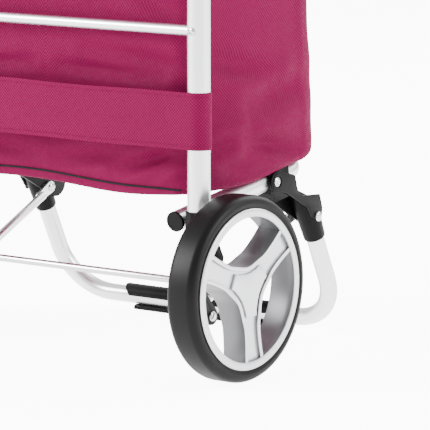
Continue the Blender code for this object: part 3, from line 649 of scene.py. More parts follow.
def bow_spine(s):
    """Height up the bow as (y, z): upright, bent backwards, then straight."""
    foot = box("handle_bow")[0].z
    straight = box("post_right")[1].z - foot + BOW_RISE
    if s <= straight:
        return POST.y, foot + s
    lean = min((s - straight) / BOW_BEND_R, BOW_LEAN)
    rest = max(s - straight - BOW_BEND_R * BOW_LEAN, 0.0)
    return (POST.y - BOW_BEND_R * (1.0 - math.cos(lean)) - rest * math.sin(lean),
            foot + straight + BOW_BEND_R * math.sin(lean) + rest * math.cos(lean))


def along_platform(s, lift=0.0):
    return (PLATFORM_PIVOT.y + s * math.cos(TILT) - lift * math.sin(TILT),
            PLATFORM_PIVOT.z + s * math.sin(TILT) + lift * math.cos(TILT))


def up_leg(s, out=0.0):
    return (LEG_BAR.y - s * math.sin(LEG_LEAN) + out * math.cos(LEG_LEAN),
            LEG_BAR.z + s * math.cos(LEG_LEAN) + out * math.sin(LEG_LEAN))


class TROLLEY_OT_upright(bpy.types.Operator):
    """Models the posts, crossbars and handle bow"""
    bl_idname = "trolley.upright"
    bl_label = "Upright frame"

    def execute(self, context):
        path = [(POST.x, POST.y, corner.z) for corner in box("post_right")]
        right = tube("post_tube_right", path, POST_R, TUBE_WALL)
        finish_pair(right, anodised(), "aluminium", "frame", "post")
        for node in ("crossbar_lower", "crossbar_upper"):
            centre, reach = middle(node), 0.5 * span(node).x
            path = [(-reach, centre.y, centre.z), (reach, centre.y, centre.z)]
            bar = tube(f"{node}_tube", path, 0.5 * span(node).z)
            finish(bar, anodised(), "aluminium", "frame", node)
        straight = box("post_right")[1].z - box("handle_bow")[0].z + BOW_RISE
        bend = BOW_BEND_R * BOW_LEAN
        stations = [0.0] + [straight + bend * k / BEND_STEPS for k in range(BEND_STEPS + 1)]
        path = hoop(POST.x, straight + bend + BOW_REACH, BOW_CORNER_R, bow_spine, stations)
        bow = tube("handle_tube", path, POST_R - 0.002, TUBE_WALL)
        finish(bow, anodised(), "aluminium", "frame", "handle_bow")
        return {"FINISHED"}


class TROLLEY_OT_folding_tubes(bpy.types.Operator):
    """Models the platform, leg, struts and axle"""
    bl_idname = "trolley.folding_tubes"
    bl_label = "Folding tubes"

    def execute(self, context):
        path = hoop(RAIL_HALF, PLATFORM_DEPTH + PLATFORM_TAIL, PLATFORM_CORNER_R,
                    lambda s: along_platform(s - PLATFORM_TAIL), [0.0])
        platform = tube("platform_hoop", path, PLATFORM_R, TUBE_WALL)
        finish(platform, anodised(), "aluminium", "platform", "platform_tube")
        path = hoop(RAIL_HALF, LEG_LENGTH, LEG_CORNER_R, lambda s: up_leg(LEG_LENGTH - s), [0.0])
        leg = tube("leg_hoop", path, LEG_R, TUBE_WALL)
        finish(leg, anodised(), "aluminium", "leg", "leg_tube")
        start, end = (Vector((corner.x, AXLE.y, AXLE.z)) for corner in box("axle"))
        axle = rod("axle_rod", start, end, 0.5 * span("axle").z)
        finish(axle, bright_steel(), "steel", "frame", "axle")
        finish_pair(self.strut(), anodised(), "aluminium", "strut_{}", "strut")
        return {"FINISHED"}

    def strut(self):
        """Round link drawn down to flat eyes at both ends."""
        low, high = box("strut_right")
        centre_x = low.x + STRUT_R
        start, end = Vector(STRUT_LOW.yz), Vector(STRUT_HIGH.yz)
        along = (end - start).normalized()
        inner, outer = start + along * 0.016, end - along * 0.016
        pieces = [rod("link", (centre_x, *inner), (centre_x, *outer), STRUT_R, 0.002)]
        for eye, away in ((start, along), (end, -along)):
            outline = capsule(eye, STRUT_EYE_R, eye + away * STRUT_FLAT, 0.0052)
            pieces.append(plate("eye", flat_yz(outline, high.x), (-0.0046, 0.0, 0.0), 0.0012, 3))
            smooth(pieces[-1])
        return merge_objects("strut_link_right", pieces)


# Wheels

def wheel_point(radius, across, turn):
    return (AXLE.y + radius * math.cos(turn) - across * math.sin(turn),
            AXLE.z + radius * math.sin(turn) + across * math.cos(turn))


def spoke_edge(turn):
    """Line along one side of a spoke, round the hub's web and out along the next spoke."""
    first = [(0.0795, 0.0136), (0.066, 0.0120), (0.053, 0.0112), (0.041, 0.0114), (0.0315, 0.0135)]
    after = turn + 2.0 * math.pi / 3.0
    points = [wheel_point(r, w, turn) for r, w in first]
    points += [wheel_point(0.0226, 0.0, turn + math.pi / 3.0)]
    points += [wheel_point(r, -w, after) for r, w in reversed(first)]
    return smooth_line(points)


class TROLLEY_OT_wheels(bpy.types.Operator):
    """Models the tyres, spoked rims and hub covers"""
    bl_idname = "trolley.wheels"
    bl_label = "Wheels"

    def execute(self, context):
        makers = (("tyre", self.tyre, tyre_rubber, "tyre_rubber"),
                  ("rim", self.rim, wheel_silver, "wheel_silver"),
                  ("hub_cover", self.cover, wheel_silver, "wheel_silver"))
        for node, build, material, slot in makers:
            right = build()
            left = finish_pair(right, material(), slot, "wheel_{}", node, False)
            # The rim's cross walls get darker silver: painted shade.
            if node == "rim":
                self.paint_shade_on_walls(right)
                self.paint_shade_on_walls(left)
        return {"FINISHED"}

    def paint_shade_on_walls(self, wheel):
        """Gives the walls that run across the wheel the silver darkened as painted shade."""
        wheel.data.materials.append(wheel_shade())
        face = box("rim_right")[1].x - RIM_FACE_DEPTH
        for polygon in wheel.data.polygons:
            if abs(polygon.normal.x) < 0.5 and abs(polygon.center.x) < face:
                polygon.material_index = 1

    def tyre(self):
        low, high = box("tyre_right")
        outer = 0.5 * span("tyre_right").z
        shoulder = outer - TYRE_SHOULDER
        profile = [(TYRE_SEAT, low.x + 0.001)]
        profile += arc((shoulder, low.x + TYRE_SHOULDER), TYRE_SHOULDER, -90.0, 0.0, 8)
        profile += arc((shoulder, high.x - TYRE_SHOULDER), TYRE_SHOULDER, 0.0, 90.0, 8)
        profile += [(TYRE_SEAT + 0.0035, high.x + 0.0002), (TYRE_SEAT + 0.0024, high.x - 0.0006),
                    (TYRE_SEAT, high.x - 0.0006)]
        tyre = lathe("tyre_ring_right", profile, (0.0, AXLE.y, AXLE.z), ACROSS, sizes().wheel_steps)
        smooth(tyre, 50.0)
        return tyre

    def rim(self):
        low, high = box("rim_right")
        face, inner = high.x, low.x + 0.0035
        centre = (0.0, AXLE.y, AXLE.z)
        barrel = [(0.086, inner), (0.086, face - 0.0012), (0.0852, face - 0.0003), (0.0842, face),
                  (0.0788, face), (0.0778, face - 0.0004), (0.0774, face - 0.0014),
                  (0.0780, face - 0.010), (0.0800, inner + 0.002), (0.0806, inner)]
        hub = [(0.0070, low.x), (0.0155, low.x), (0.0160, low.x + 0.0006), (0.0172, face - 0.016),
               (0.0172, face - 0.010), (0.0070, face - 0.010)]
        floor = [point for turn in SPOKE_TURNS for point in spoke_edge(turn)]
        pieces = [lathe("barrel", barrel, centre, ACROSS, sizes().wheel_steps),
                  lathe("hub", hub, centre, ACROSS, 64),
                  plate("web", flat_yz(floor, face - 0.0150), (0.0102, 0.0, 0.0))]
        for turn in SPOKE_TURNS:
            outline = ribbon(spoke_edge(turn), 0.0044)
            pieces.append(plate("rail", flat_yz(outline, face - 0.0320), (0.0307, 0.0, 0.0),
                                0.0009, 3))
        for piece in pieces:
            smooth(piece)
        return merge_objects("rim_cast_right", pieces)


    def cover(self):
        low, high = box("hub_cover_right")
        outline = []
        for turn in SPOKE_TURNS:
            outline += [wheel_point(0.0288, -0.0088, turn), wheel_point(0.0300, -0.0078, turn),
                        wheel_point(0.0300, 0.0078, turn), wheel_point(0.0288, 0.0088, turn)]
            outline += smooth_line([wheel_point(0.0235, 0.0090, turn),
                                    wheel_point(0.0172, 0.0, turn + math.pi / 3.0),
                                    wheel_point(0.0235, -0.0090, turn + 2.0 * math.pi / 3.0)], 5)
        push = (high.x - low.x - 0.0004, 0.0, 0.0)
        cover = plate("hub_cap_right", flat_yz(outline, low.x - 0.0012), push, 0.0005, 3)
        smooth(cover)
        return cover


# Steel fasteners

class TROLLEY_OT_fasteners(bpy.types.Operator):
    """Models the rivets, pins and bolts that show"""
    bl_idname = "trolley.fasteners"
    bl_label = "Fasteners"

    def execute(self, context):
        for level in ("lower", "upper"):
            for side in SIDES:
                self.rear_rivet(f"crossbar_rivet_{level}_{side}")
        for node, body in (("sleeve_rivet", "leg"), ("leg_rivet", "leg"),
                           ("strut_rivet", "strut_{}"), ("strut_bolt", "frame"),
                           ("platform_pin", "frame")):
            self.cross_rivet(node, body)
        return {"FINISHED"}

    def rear_rivet(self, node):
        """Domed rivet that shows on the back of a post."""
        low, high = box(node)
        centre, head = middle(node), 0.5 * span(node).x
        profile = [(0.0, low.y + 0.0012), (0.0012, low.y + 0.0012)]
        profile += [(head * math.sin(t), low.y + 0.0016 * (1.0 - math.cos(t)))
                    for t in QUARTER_TURN[2:]]
        profile += [(0.002, low.y + 0.0016), (0.002, high.y), (0.0, high.y)]
        rivet = lathe(node.replace("rivet", "pop_rivet"), profile, (centre.x, 0.0, centre.z),
                      (0.0, 1.0, 0.0), 32)
        smooth(rivet)
        finish(rivet, bright_steel(), "steel", "frame", node)

    def cross_rivet(self, node, body):
        """Rivet or bolt across the trolley, with a rounded head at each end that has one."""
        low, high = (corner.x for corner in box(f"{node}_right"))
        size = span(f"{node}_right")
        centre, head = middle(f"{node}_right"), 0.5 * max(size.y, size.z)
        inner = [(0.0, low)] + [(head * math.sin(t), low + RIVET_DOME * (1.0 - math.cos(t)))
                                for t in QUARTER_TURN[1:]]
        outer = [(head * math.cos(t), high - RIVET_DOME * (1.0 - math.sin(t)))
                 for t in QUARTER_TURN[:-1]] + [(0.0, high)]
        if node == "sleeve_rivet":
            inner = [(0.0, low)]
        if node in ("strut_rivet", "platform_pin"):
            outer = [(0.0, high)]
        if node == "leg_rivet":
            outer = outer[:-2] + [(0.0028, high), (0.0018, high - 0.0006), (0.0, high - 0.0007)]
        shank = [(head * 0.55, low + RIVET_DOME * (len(inner) > 1)),
                 (head * 0.55, high - RIVET_DOME * (len(outer) > 1))]
        start = (0.0, centre.y, centre.z)
        right = lathe(f"{node}_head_right", inner + shank + outer, start, ACROSS, 32)
        smooth(right)
        finish_pair(right, bright_steel(), "steel", body, node, False)


# Black mouldings

class TROLLEY_OT_mouldings(bpy.types.Operator):
    """Models the brackets, caps, collars, saddles and foot shoe"""
    bl_idname = "trolley.mouldings"
    bl_label = "Mouldings"

    def execute(self, context):
        for node, body in (("wheel_bracket", "frame"), ("hinge_saddle", "platform")):
            for side in SIDES:
                name = f"{node}_moulding_{side}"
                piece = refined_copy(f"{node}_{side}", name, sizes().edge_break)
                if node == "hinge_saddle":
                    self.shorten(piece, LEG_PIVOT.y - 0.0120)
                finish(piece, moulded_black(), "black_plastic", body, f"{node}_{side}")
        self.caps()
        self.collars()
        self.shoe()
        return {"FINISHED"}

    def shorten(self, piece, rear):
        """Squeezes what lies behind the plane to a tenth of its depth."""
        for vert in piece.data.vertices:
            vert.co.y = max(vert.co.y, rear + 0.1 * (vert.co.y - rear))

    def caps(self):
        """Round plugs in the rear ends of the platform tube, with a faint dished face."""
        backwards = (0.0, -math.cos(TILT), -math.sin(TILT))
        start = (RAIL_HALF, *along_platform(-PLATFORM_TAIL))
        edge = PLATFORM_R + 0.0002
        profile = [(0.0, -0.0012), (edge - 0.002, -0.0012), (edge - 0.002, 0.0003), (edge, 0.0003),
                   (edge, 0.0019), (edge - 0.0003, 0.0024), (edge - 0.0009, 0.0028),
                   (edge - 0.0022, 0.0028), (edge - 0.0027, 0.0024), (0.0, 0.0024)]
        right = lathe("tube_plug_right", profile, start, backwards, 48)
        smooth(right)
        finish_pair(right, moulded_black(), "black_plastic", "platform", "platform_cap")

    def collars(self):
        """Flanged sleeves where the bow enters the posts."""
        low, high = box("post_collar_right")
        outer, base, top = 0.5 * (high.x - low.x), low.z, high.z
        profile = [(POST_R + GAP, base), (outer - 0.001, base), (outer, base + 0.001),
                   (outer, base + 0.005), (outer - 0.0008, base + 0.006),
                   (outer - 0.0008, top - 0.004), (outer - 0.003, top), (BOW_BORE, top),
                   (BOW_BORE, top - 0.006), (POST_R + GAP, top - 0.006)]
        right = lathe("collar_sleeve_right", profile, (POST.x, POST.y, 0.0), (0.0, 0.0, 1.0), 48)
        smooth(right)
        finish_pair(right, moulded_black(), "black_plastic", "frame", "post_collar")

    def shoe(self):
        """Clip-on shoe over the ground bar, open at the lower rear, with slanted ends."""
        low, high = box("foot_shoe")
        inner, outer, centre = LEG_R + GAP, high.z - LEG_BAR.z, LEG_BAR.yz
        outline = arc(centre, outer, 176.0, -12.0, 24)
        outline += [(LEG_BAR.y + outer - 0.0022, 0.0012), (LEG_BAR.y + outer - 0.0034, 0.0),
                    (LEG_BAR.y - 0.0070, 0.0), (LEG_BAR.y - 0.0080, 0.0010),
                    (LEG_BAR.y - 0.0076, 0.0040)]
        outline += arc(centre, inner, 252.0, 536.0, 36)
        shoe = plate("foot_clip", flat_yz(outline, low.x), (high.x - low.x, 0.0, 0.0))
        for vert in shoe.data.vertices:
            vert.co.x -= math.copysign(min(0.95 * (high.z - vert.co.z), 0.0150), vert.co.x)
        bevel(shoe, 0.0004, 2, 50.0)
        smooth(shoe)
        finish(shoe, moulded_black(), "black_plastic", "leg", "foot_shoe")


class TROLLEY_OT_knuckles(bpy.types.Operator):
    """Models the fork knuckles that join the leg to the platform"""
    bl_idname = "trolley.knuckles"
    bl_label = "Leg knuckles"

    def execute(self, context):
        low, high = box("leg_knuckle_right")
        pieces = [self.sleeve(), self.outer_cheek(high.x - CHEEK_THICK, high.x),
                  self.inner_cheek(low.x)]
        for piece in pieces:
            smooth(piece)
        right = merge_objects("knuckle_fork_right", pieces)
        finish_pair(right, moulded_black(), "black_plastic", "leg", "leg_knuckle")
        return {"FINISHED"}

    def sleeve(self):
        """Tapered socket that holds the top of the leg tube, cut level at the top."""
        foot, top = (Vector((RAIL_HALF, *up_leg(s))) for s in (SLEEVE_FOOT, SLEEVE_TOP))
        reach, along = (top - foot).length, (top - foot).normalized()
        profile = [(LEG_R + GAP, 0.0), (0.0114, 0.0), (0.0121, 0.0008), (0.0124, 0.004),
                   (0.0139, reach), (0.0, reach), (0.0, reach - 0.030),
                   (LEG_R + GAP, reach - 0.030)]
        sleeve = lathe("sleeve", profile, foot, along, 64)
        for vert in sleeve.data.vertices:
            height = (vert.co - foot).dot(along) / reach
            vert.co.x = RAIL_HALF + (vert.co.x - RAIL_HALF) * (1.0 + 0.17 * height)
        with editing(sleeve):
            bpy.ops.mesh.bisect(plane_co=(0.0, up_leg(SLEEVE_CUT)[0], LEG_PIVOT.z - 0.0240),
                                plane_no=(0.0, 0.10, 1.0), use_fill=True, clear_outer=True)
        bevel(sleeve, 0.0012, 3, 50.0)
        return sleeve

    def outer_cheek(self, near, far):
        """Cheek with a round eye and a neck that bends in to meet the socket."""
        y, z = LEG_PIVOT.yz
        crown = [(0.0300, 0.0052), (0.0328, 0.0032), (0.0342, -0.0005), (0.0358, -0.0062),
                 (0.0380, -0.0125), (0.0420, -0.0178), (0.0490, -0.0205)]
        throat = [(0.0240, -0.0170), (0.0150, -0.0135), (0.0080, -0.0122)]
        outline = [(y + dy, z + dz) for dy, dz in smooth_line(crown, 3)]
        outline += [up_leg(0.166, 0.0118), up_leg(0.150, 0.0105), up_leg(0.142, 0.0060),
                    up_leg(0.142, -0.0050), up_leg(0.150, -0.0105), up_leg(0.163, -0.0125)]
        outline += [(y + dy, z + dz) for dy, dz in smooth_line(throat, 3)]
        outline += arc((y, z), CHEEK_R, 268.0, 80.0, 20)
        cheek = plate("outer_cheek", flat_yz(outline, near), (far - near, 0.0, 0.0), 0.0010, 3)
        for vert in cheek.data.vertices:
            drop = min(max(z - 0.013 - vert.co.z, 0.0), 0.014)
            vert.co.x -= 0.10 * drop
        ring = [(0.0064, 0.0), (0.0094, 0.0), (0.0090, 0.0008), (0.0068, 0.0008)]
        eye = lathe("eye", ring, (far - 0.0001, y, z), ACROSS, 48)
        return merge_objects("outer_cheek", [cheek, eye])

    def inner_cheek(self, near):
        """Long inner cheek that ends in the disc round the strut's rivet."""
        disc = (LEG_PIVOT.y + 0.092, LEG_PIVOT.z - 0.0440)
        outline = capsule(tuple(LEG_PIVOT.yz), 0.0115, disc, 0.0165)
        return plate("inner_cheek", flat_yz(outline, near), (0.0033, 0.0, 0.0), 0.0008, 3)


class TROLLEY_OT_grip(bpy.types.Operator):
    """Models the foam grip on the handle"""
    bl_idname = "trolley.grip"
    bl_label = "Grip"

    def execute(self, context):
        centre, outer = middle("handle_grip"), 0.5 * span("handle_grip").z
        half = box("handle_grip")[1].x
        profile = [(BOW_BORE, -half), (outer - 0.003, -half), (outer - 0.0008, -half + 0.0012),
                   (outer, -half + 0.004)]
        for k in range(1, GRIP_RIBS):
            x = -half + 0.004 + (2.0 * half - 0.008) * k / GRIP_RIBS
            profile += [(outer, x - 0.0012), (outer - 0.0006, x), (outer, x + 0.0012)]
        profile += [(outer, half - 0.004), (outer - 0.0008, half - 0.0012), (outer - 0.003, half),
                    (BOW_BORE, half)]
        grip = lathe("foam_sleeve", profile, (0.0, centre.y, centre.z), ACROSS, 48)
        smooth(grip, 60.0)
        finish(grip, grip_foam(), "grip_foam", "frame", "handle_grip")
        return {"FINISHED"}


# Bag

def rounded_plan(half, back, front, back_r, front_r):
    """Evenly walkable outline from the middle of the back, anticlockwise seen from above."""
    plan = [(0.0, back)] + arc((half - back_r, back + back_r), back_r, -90.0, 0.0, 12)
    plan += arc((half - front_r, front - front_r), front_r, 0.0, 90.0, 16)
    right = plan + [(0.0, front)]
    return right + [(-x, y) for x, y in reversed(right[:-1])]


class Outline:
    """Closed flat outline walked by the share of its length."""

    def __init__(self, points):
        self.points = [Vector(point) for point in points]
        self.lengths = [0.0]
        for a, b in zip(self.points, self.points[1:]):
            self.lengths.append(self.lengths[-1] + (b - a).length)
        self.total = self.lengths[-1]

    def at(self, share):
        """Point and outward direction."""
        distance = min(max(share, 0.0), 1.0) * self.total
        index = 1
        while index < len(self.lengths) - 1 and self.lengths[index] < distance:
            index += 1
        a, b = self.points[index - 1], self.points[index]
        step = max(self.lengths[index] - self.lengths[index - 1], 1e-9)
        point = a.lerp(b, (distance - self.lengths[index - 1]) / step)
        along = (b - a).normalized()
        return point, Vector((along.y, -along.x))


def bag_floor(y):
    share = (y - BAG_LOW.y) / (BAG_HIGH.y - BAG_LOW.y)
    return BAG_FLOOR_BACK + (BAG_FLOOR_FRONT - BAG_FLOOR_BACK) * share


BAG_PLAN = Outline(rounded_plan(BAG_HIGH.x, BAG_LOW.y, BAG_HIGH.y,
                                BAG_CORNER_BACK, BAG_CORNER_FRONT))


def hill(value, centre, width):
    return math.exp(-((value - centre) / width) ** 2)


def drift(x, y, z):
    return noise.noise(Vector((x, y, z)))


def swell(distance, rate):
    return 1.0 - math.exp(-max(distance, 0.0) / rate)


# Creases of the right-hand half, mirrored on the left: start, end, half width and depth
CREASES = (
    ((0.209, -0.094, 0.2210), (0.211, -0.040, 0.2100), 0.0050, 0.0090),
    ((0.208, -0.085, 0.2340), (0.211, -0.005, 0.2560), 0.0085, 0.0078),
    ((0.206, -0.080, 0.3400), (0.207, 0.040, 0.3150), 0.0130, 0.0070),
    ((0.204, -0.010, 0.2430), (0.206, 0.085, 0.2260), 0.0100, 0.0066),
    ((0.204, 0.000, 0.2850), (0.206, 0.100, 0.3000), 0.0140, 0.0058),
    ((0.196, -0.093, 0.2380), (0.095, -0.093, 0.2140), 0.0080, 0.0050),
    ((0.190, -0.093, 0.3280), (0.060, -0.093, 0.3420), 0.0100, 0.0045),
    ((0.160, -0.093, 0.3160), (0.020, -0.093, 0.3230), 0.0070, 0.0040),
    ((0.192, -0.093, 0.3800), (0.110, -0.093, 0.4150), 0.0120, 0.0045),
    ((0.120, -0.093, 0.2300), (0.010, -0.093, 0.2200), 0.0090, 0.0035),
)


CREASE_DEPTH = 1.6


def creased(place):
    """Depth of the fixed creases at a place on the bag."""
    place = Vector((abs(place.x), place.y, place.z))
    depth = 0.0
    for start, end, width, deep in CREASES:
        start = Vector(start)
        run = Vector(end) - start
        share = min(max((place - start).dot(run) / run.length_squared, 0.0), 1.0)
        off = (place - start - run * share).length / width
        if off < 4.0:
            fade = math.sin(math.pi * (0.12 + 0.80 * share))
            depth += CREASE_DEPTH * deep * fade * (0.35 * hill(off, 1.9, 1.1) - hill(off, 0.0, 1.0))
    return depth


def folds(x, y, z):
    """Soft wrinkles: slow waves all over, and creases that gather at the lower rear corners."""
    depth = sizes().wrinkle_depth
    slow = drift(x * 7.0 + 3.0, y * 7.0, z * 5.0)
    medium = drift(x * 16.0, y * 16.0 + 5.0, z * 22.0)
    near_foot = hill(z, 0.222, 0.030)
    near_corner = hill(abs(x), 0.175, 0.055) * hill(y, BAG_LOW.y, 0.050)
    slant = (z - 0.215) * 1.0 + (0.20 - abs(x)) * 0.55 + (y - BAG_LOW.y) * 0.25
    crease = math.sin(slant * 230.0 + 2.0 * medium) * near_foot * near_corner
    gather = hill(z, 0.300, 0.055) * drift(x * 24.0, y * 10.0, z * 9.0)
    soft = depth * (0.50 * slow + 0.30 * medium + 0.45 * crease + 0.45 * gather)
    return soft + creased(Vector((x, y, z)))


def sag(x, y, out):
    """How far the loaded cloth hangs below its sewn bottom, at the sides and along the back."""
    depth = y - BAG_LOW.y
    side = out.x * out.x * (0.0015 + 0.0055 * hill(depth, 0.090, 0.060) + 0.010 * depth)
    belly = 0.0075 * hill(x, 0.105, 0.085) + 0.0055 * hill(x, -0.150, 0.060)
    return side + belly * max(-out.y, 0.0)


def bag_skin(share, height):
    """Point on the bag: height 0 is the bottom edge and 1 the rim."""
    point, out = BAG_PLAN.at(share)
    low = bag_floor(point.y) - sag(point.x, point.y, out)
    z = low + (BAG_HIGH.z - low) * height
    forward = (point.y - BAG_LOW.y) / (BAG_HIGH.y - BAG_LOW.y)
    lean = max(abs(out.x), forward)
    full = swell(1.0 - height, 0.10)
    belly = (0.004 * forward + 0.007 * out.x * out.x * math.sin(math.pi * forward)) * full
    belly += 0.010 * max(abs(out.x) * out.y, 0.0) * full
    belly += 0.0075 * lean * swell(point.y - BAG_LOW.y, 0.035) * hill(z, low, 0.110)
    roll = 0.005 + 0.006 * forward
    above = z - low
    tuck = roll - math.sqrt(max(roll * roll - (roll - min(above, roll)) ** 2, 0.0))
    push = belly - tuck + folds(point.x, point.y, z) * swell(above, 0.010)
    return Vector((point.x + out.x * push, point.y + out.y * push, z))


def cloth(name, columns, rows, surface, width, height, thickness):
    """Sheet laid over a surface of two shares, with its UV map in metres and a real thickness."""
    bpy.ops.mesh.primitive_grid_add(x_subdivisions=columns, y_subdivisions=rows, size=1.0)
    obj = newest(name)
    for vert in obj.data.vertices:
        vert.co = surface(vert.co.x + 0.5, vert.co.y + 0.5)
    for loop in obj.data.uv_layers.active.data:
        loop.uv = (loop.uv[0] * width, loop.uv[1] * height)
    tidy_mesh(obj, 0.00005)
    if thickness:
        apply_modifier(obj, "SOLIDIFY", thickness=thickness, offset=-1.0)
    smooth(obj, 60.0)
    return obj


def stitches(name, path, body, step=STITCH_STEP, length=STITCH_LENGTH):
    """Row of short fabric-coloured thread dashes along a line of points."""
    verts, faces = [], []
    travelled, target = 0.0, step * 0.5
    for a, b in zip(path, path[1:]):
        reach = (b - a).length
        while reach > 0.0 and travelled + reach >= target:
            centre = a.lerp(b, (target - travelled) / reach)
            along = (b - a).normalized()
            side = along.orthogonal().normalized()
            up = along.cross(side)
            base = len(verts)
            verts += [centre - along * (0.5 * length)]
            verts += [centre + THREAD_R * v for v in (side, up, -side, -up)]
            verts += [centre + along * (0.5 * length)]
            faces += [(base, base + 1 + (k + 1) % 4, base + 1 + k) for k in range(4)]
            faces += [(base + 5, base + 1 + k, base + 1 + (k + 1) % 4) for k in range(4)]
            target += step
        travelled += reach
    mesh = bpy.data.meshes.new(name)
    mesh.from_pydata(verts, [], faces)
    obj = bpy.data.objects.new(name, mesh)
    bpy.context.scene.collection.objects.link(obj)
    tidy_mesh(obj)
    return finish(obj, plum_fabric(), "fabric", body)


def folds_flat(obj, from_y=BAG_LOW.y):
    """Gives the piece a mesh of its own."""
    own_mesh(obj)


class TROLLEY_OT_bag(bpy.types.Operator):
    """Models the bag, its piping and its seams"""
    bl_idname = "trolley.bag"
    bl_label = "Bag"

    def execute(self, context):
        tall = BAG_HIGH.z - BAG_LOW.z
        shell = cloth("bag_skin", 350, 124, self.surface, BAG_PLAN.total, tall, 0.0)
        apply_modifier(shell, "SOLIDIFY", thickness=sizes().cloth_thickness, offset=-1.0)
        finish(shell, plum_fabric(), "fabric", "frame", "bag_shell")
        folds_flat(shell)
        board = refined_copy("base_board", "stiff_board", 0.001)
        finish(board, moulded_black(), "black_plastic", "frame", "base_board")
        folds_flat(board)
        self.piping()
        self.seams()
        return {"FINISHED"}

    def surface(self, u, t):
        """Floor of the bag from its middle outwards, then the walls up to the rim."""
        if t >= FLOOR_SHARE:
            return bag_skin(u, ((t - FLOOR_SHARE) / (1.0 - FLOOR_SHARE)) ** 1.6)
        edge = bag_skin(u, 0.0)
        share = t / FLOOR_SHARE
        y = BAG_MIDDLE_Y + (edge.y - BAG_MIDDLE_Y) * share
        hang = max(share - 0.90, 0.0) / 0.10
        z = bag_floor(y) * (1.0 - hang) + edge.z * hang + 0.0005 * (1.0 - hang)
        return Vector((edge.x * share, y, z))

    def piping(self):
        """Black welt above the rear bottom edge, and fabric welts down the front corners."""
        radius, path = sizes().piping_radius, []
        for k in range(121):
            share = (-PIPING_REACH + 2.0 * PIPING_REACH * k / 120) % 1.0
            rise = 0.0108 - 0.0072 * (abs(BAG_PLAN.at(share)[0].x) / BAG_HIGH.x) ** 4
            path.append(bag_skin(share, rise / (BAG_HIGH.z - BAG_FLOOR_BACK)))
        welt = tube("rear_welt", [self.proud(p, radius) for p in path], radius)
        finish(welt, black_webbing(), "webbing", "frame")
        folds_flat(welt)
        for side, share in (("right", CORNER_SHARE), ("left", 1.0 - CORNER_SHARE)):
            path = [bag_skin(share, 0.05 + 0.90 * k / 60) for k in range(61)]
            seam = tube(f"corner_welt_{side}", [self.proud(p, 0.0004) for p in path], WELT_R)
            finish(seam, plum_fabric(), "fabric", "frame")
            folds_flat(seam)

    def proud(self, point, distance):
        """The point moved off the bag by a share of the distance."""
        away = Vector((point.x, point.y - BAG_MIDDLE_Y, 0.0))
        if abs(point.y - BAG_LOW.y) < 0.012:
            away = Vector((0.0, -1.0, 0.0))
        return point + away.normalized() * distance * 0.6

    def seams(self):
        """Topstitching round the rim."""
        path = [self.proud(bag_skin(k / 300.0, 0.965), 0.0006) for k in range(301)]
        folds_flat(stitches("rim_stitches", path, "frame"))


class TROLLEY_OT_band(bpy.types.Operator):
    """Models the fabric band that wraps both posts and holds the bag"""
    bl_idname = "trolley.band"
    bl_label = "Post band"

    def execute(self, context):
        low, high = box("bag_band")
        wrap = high.x - POST.x - 0.0009
        side_x = BAG_HIGH.x + 0.0016
        front = high.y
        run = [(side_x, front), (side_x, front - 0.010), (side_x + 0.0004, BAG_LOW.y + 0.027)]
        run += arc((POST.x, POST.y), wrap, 46.0, -90.0, 14)
        run += [(POST.x * k / 12.0, POST.y - wrap) for k in range(11, -1, -1)]
        line = Outline([(x, y) for x, y in run] + [(-x, y) for x, y in reversed(run[:-1])])

        def surface(u, t):
            point = line.at(u)[0]
            z = low.z + (high.z - low.z) * t
            free = math.exp(-(abs(point.x) / 0.17) ** 4) if point.y < POST.y else 0.0
            bow = math.sin(math.pi * t)
            wave = drift(point.x * 11.0, point.y * 9.0, t * 1.7)
            pull = drift(point.x * 34.0, 2.0, t * 0.9) * hill(abs(point.x), 0.205, 0.03)
            push = -0.0016 * free * bow + 0.0018 * wave * free + 0.0011 * pull
            edge = 0.0025 * drift(point.x * 6.0, 0.0, 4.0 + 3.0 * t) * free
            radial = Vector((point.x, point.y)) - Vector((math.copysign(POST.x, point.x), POST.y))
            if abs(point.x) < POST.x - 0.002 or radial.length > wrap * 1.4:
                radial = Vector((0.0, -1.0)) if point.y < POST.y + 0.003 else Vector((point.x, 0.0))
            radial = radial.normalized() * (abs(push) if radial.length else 0.0)
            return Vector((point.x + radial.x, point.y + radial.y, z + edge))

        band = cloth("post_band", 260, 16, surface, line.total, high.z - low.z, 0.0012)
        finish(band, plum_fabric(), "fabric", "frame", "bag_band")
        folds_flat(band, POST.y)
        self.hems(surface)
        return {"FINISHED"}

    def hems(self, surface):
        rows = []
        for label, t in (("lower", 0.07), ("upper", 0.93)):
            path = [surface(k / 400.0, t) + Vector((0.0, -0.0004, 0.0)) for k in range(401)]
            rows.append(stitches(f"band_stitches_{label}", path, "frame", 0.0042, 0.0030))
            folds_flat(rows[-1], POST.y)
        return rows


LID_PLAN = Outline(rounded_plan(LID_HIGH.x, LID_LOW.y, LID_HIGH.y, 0.014, BAG_CORNER_FRONT + 0.004))


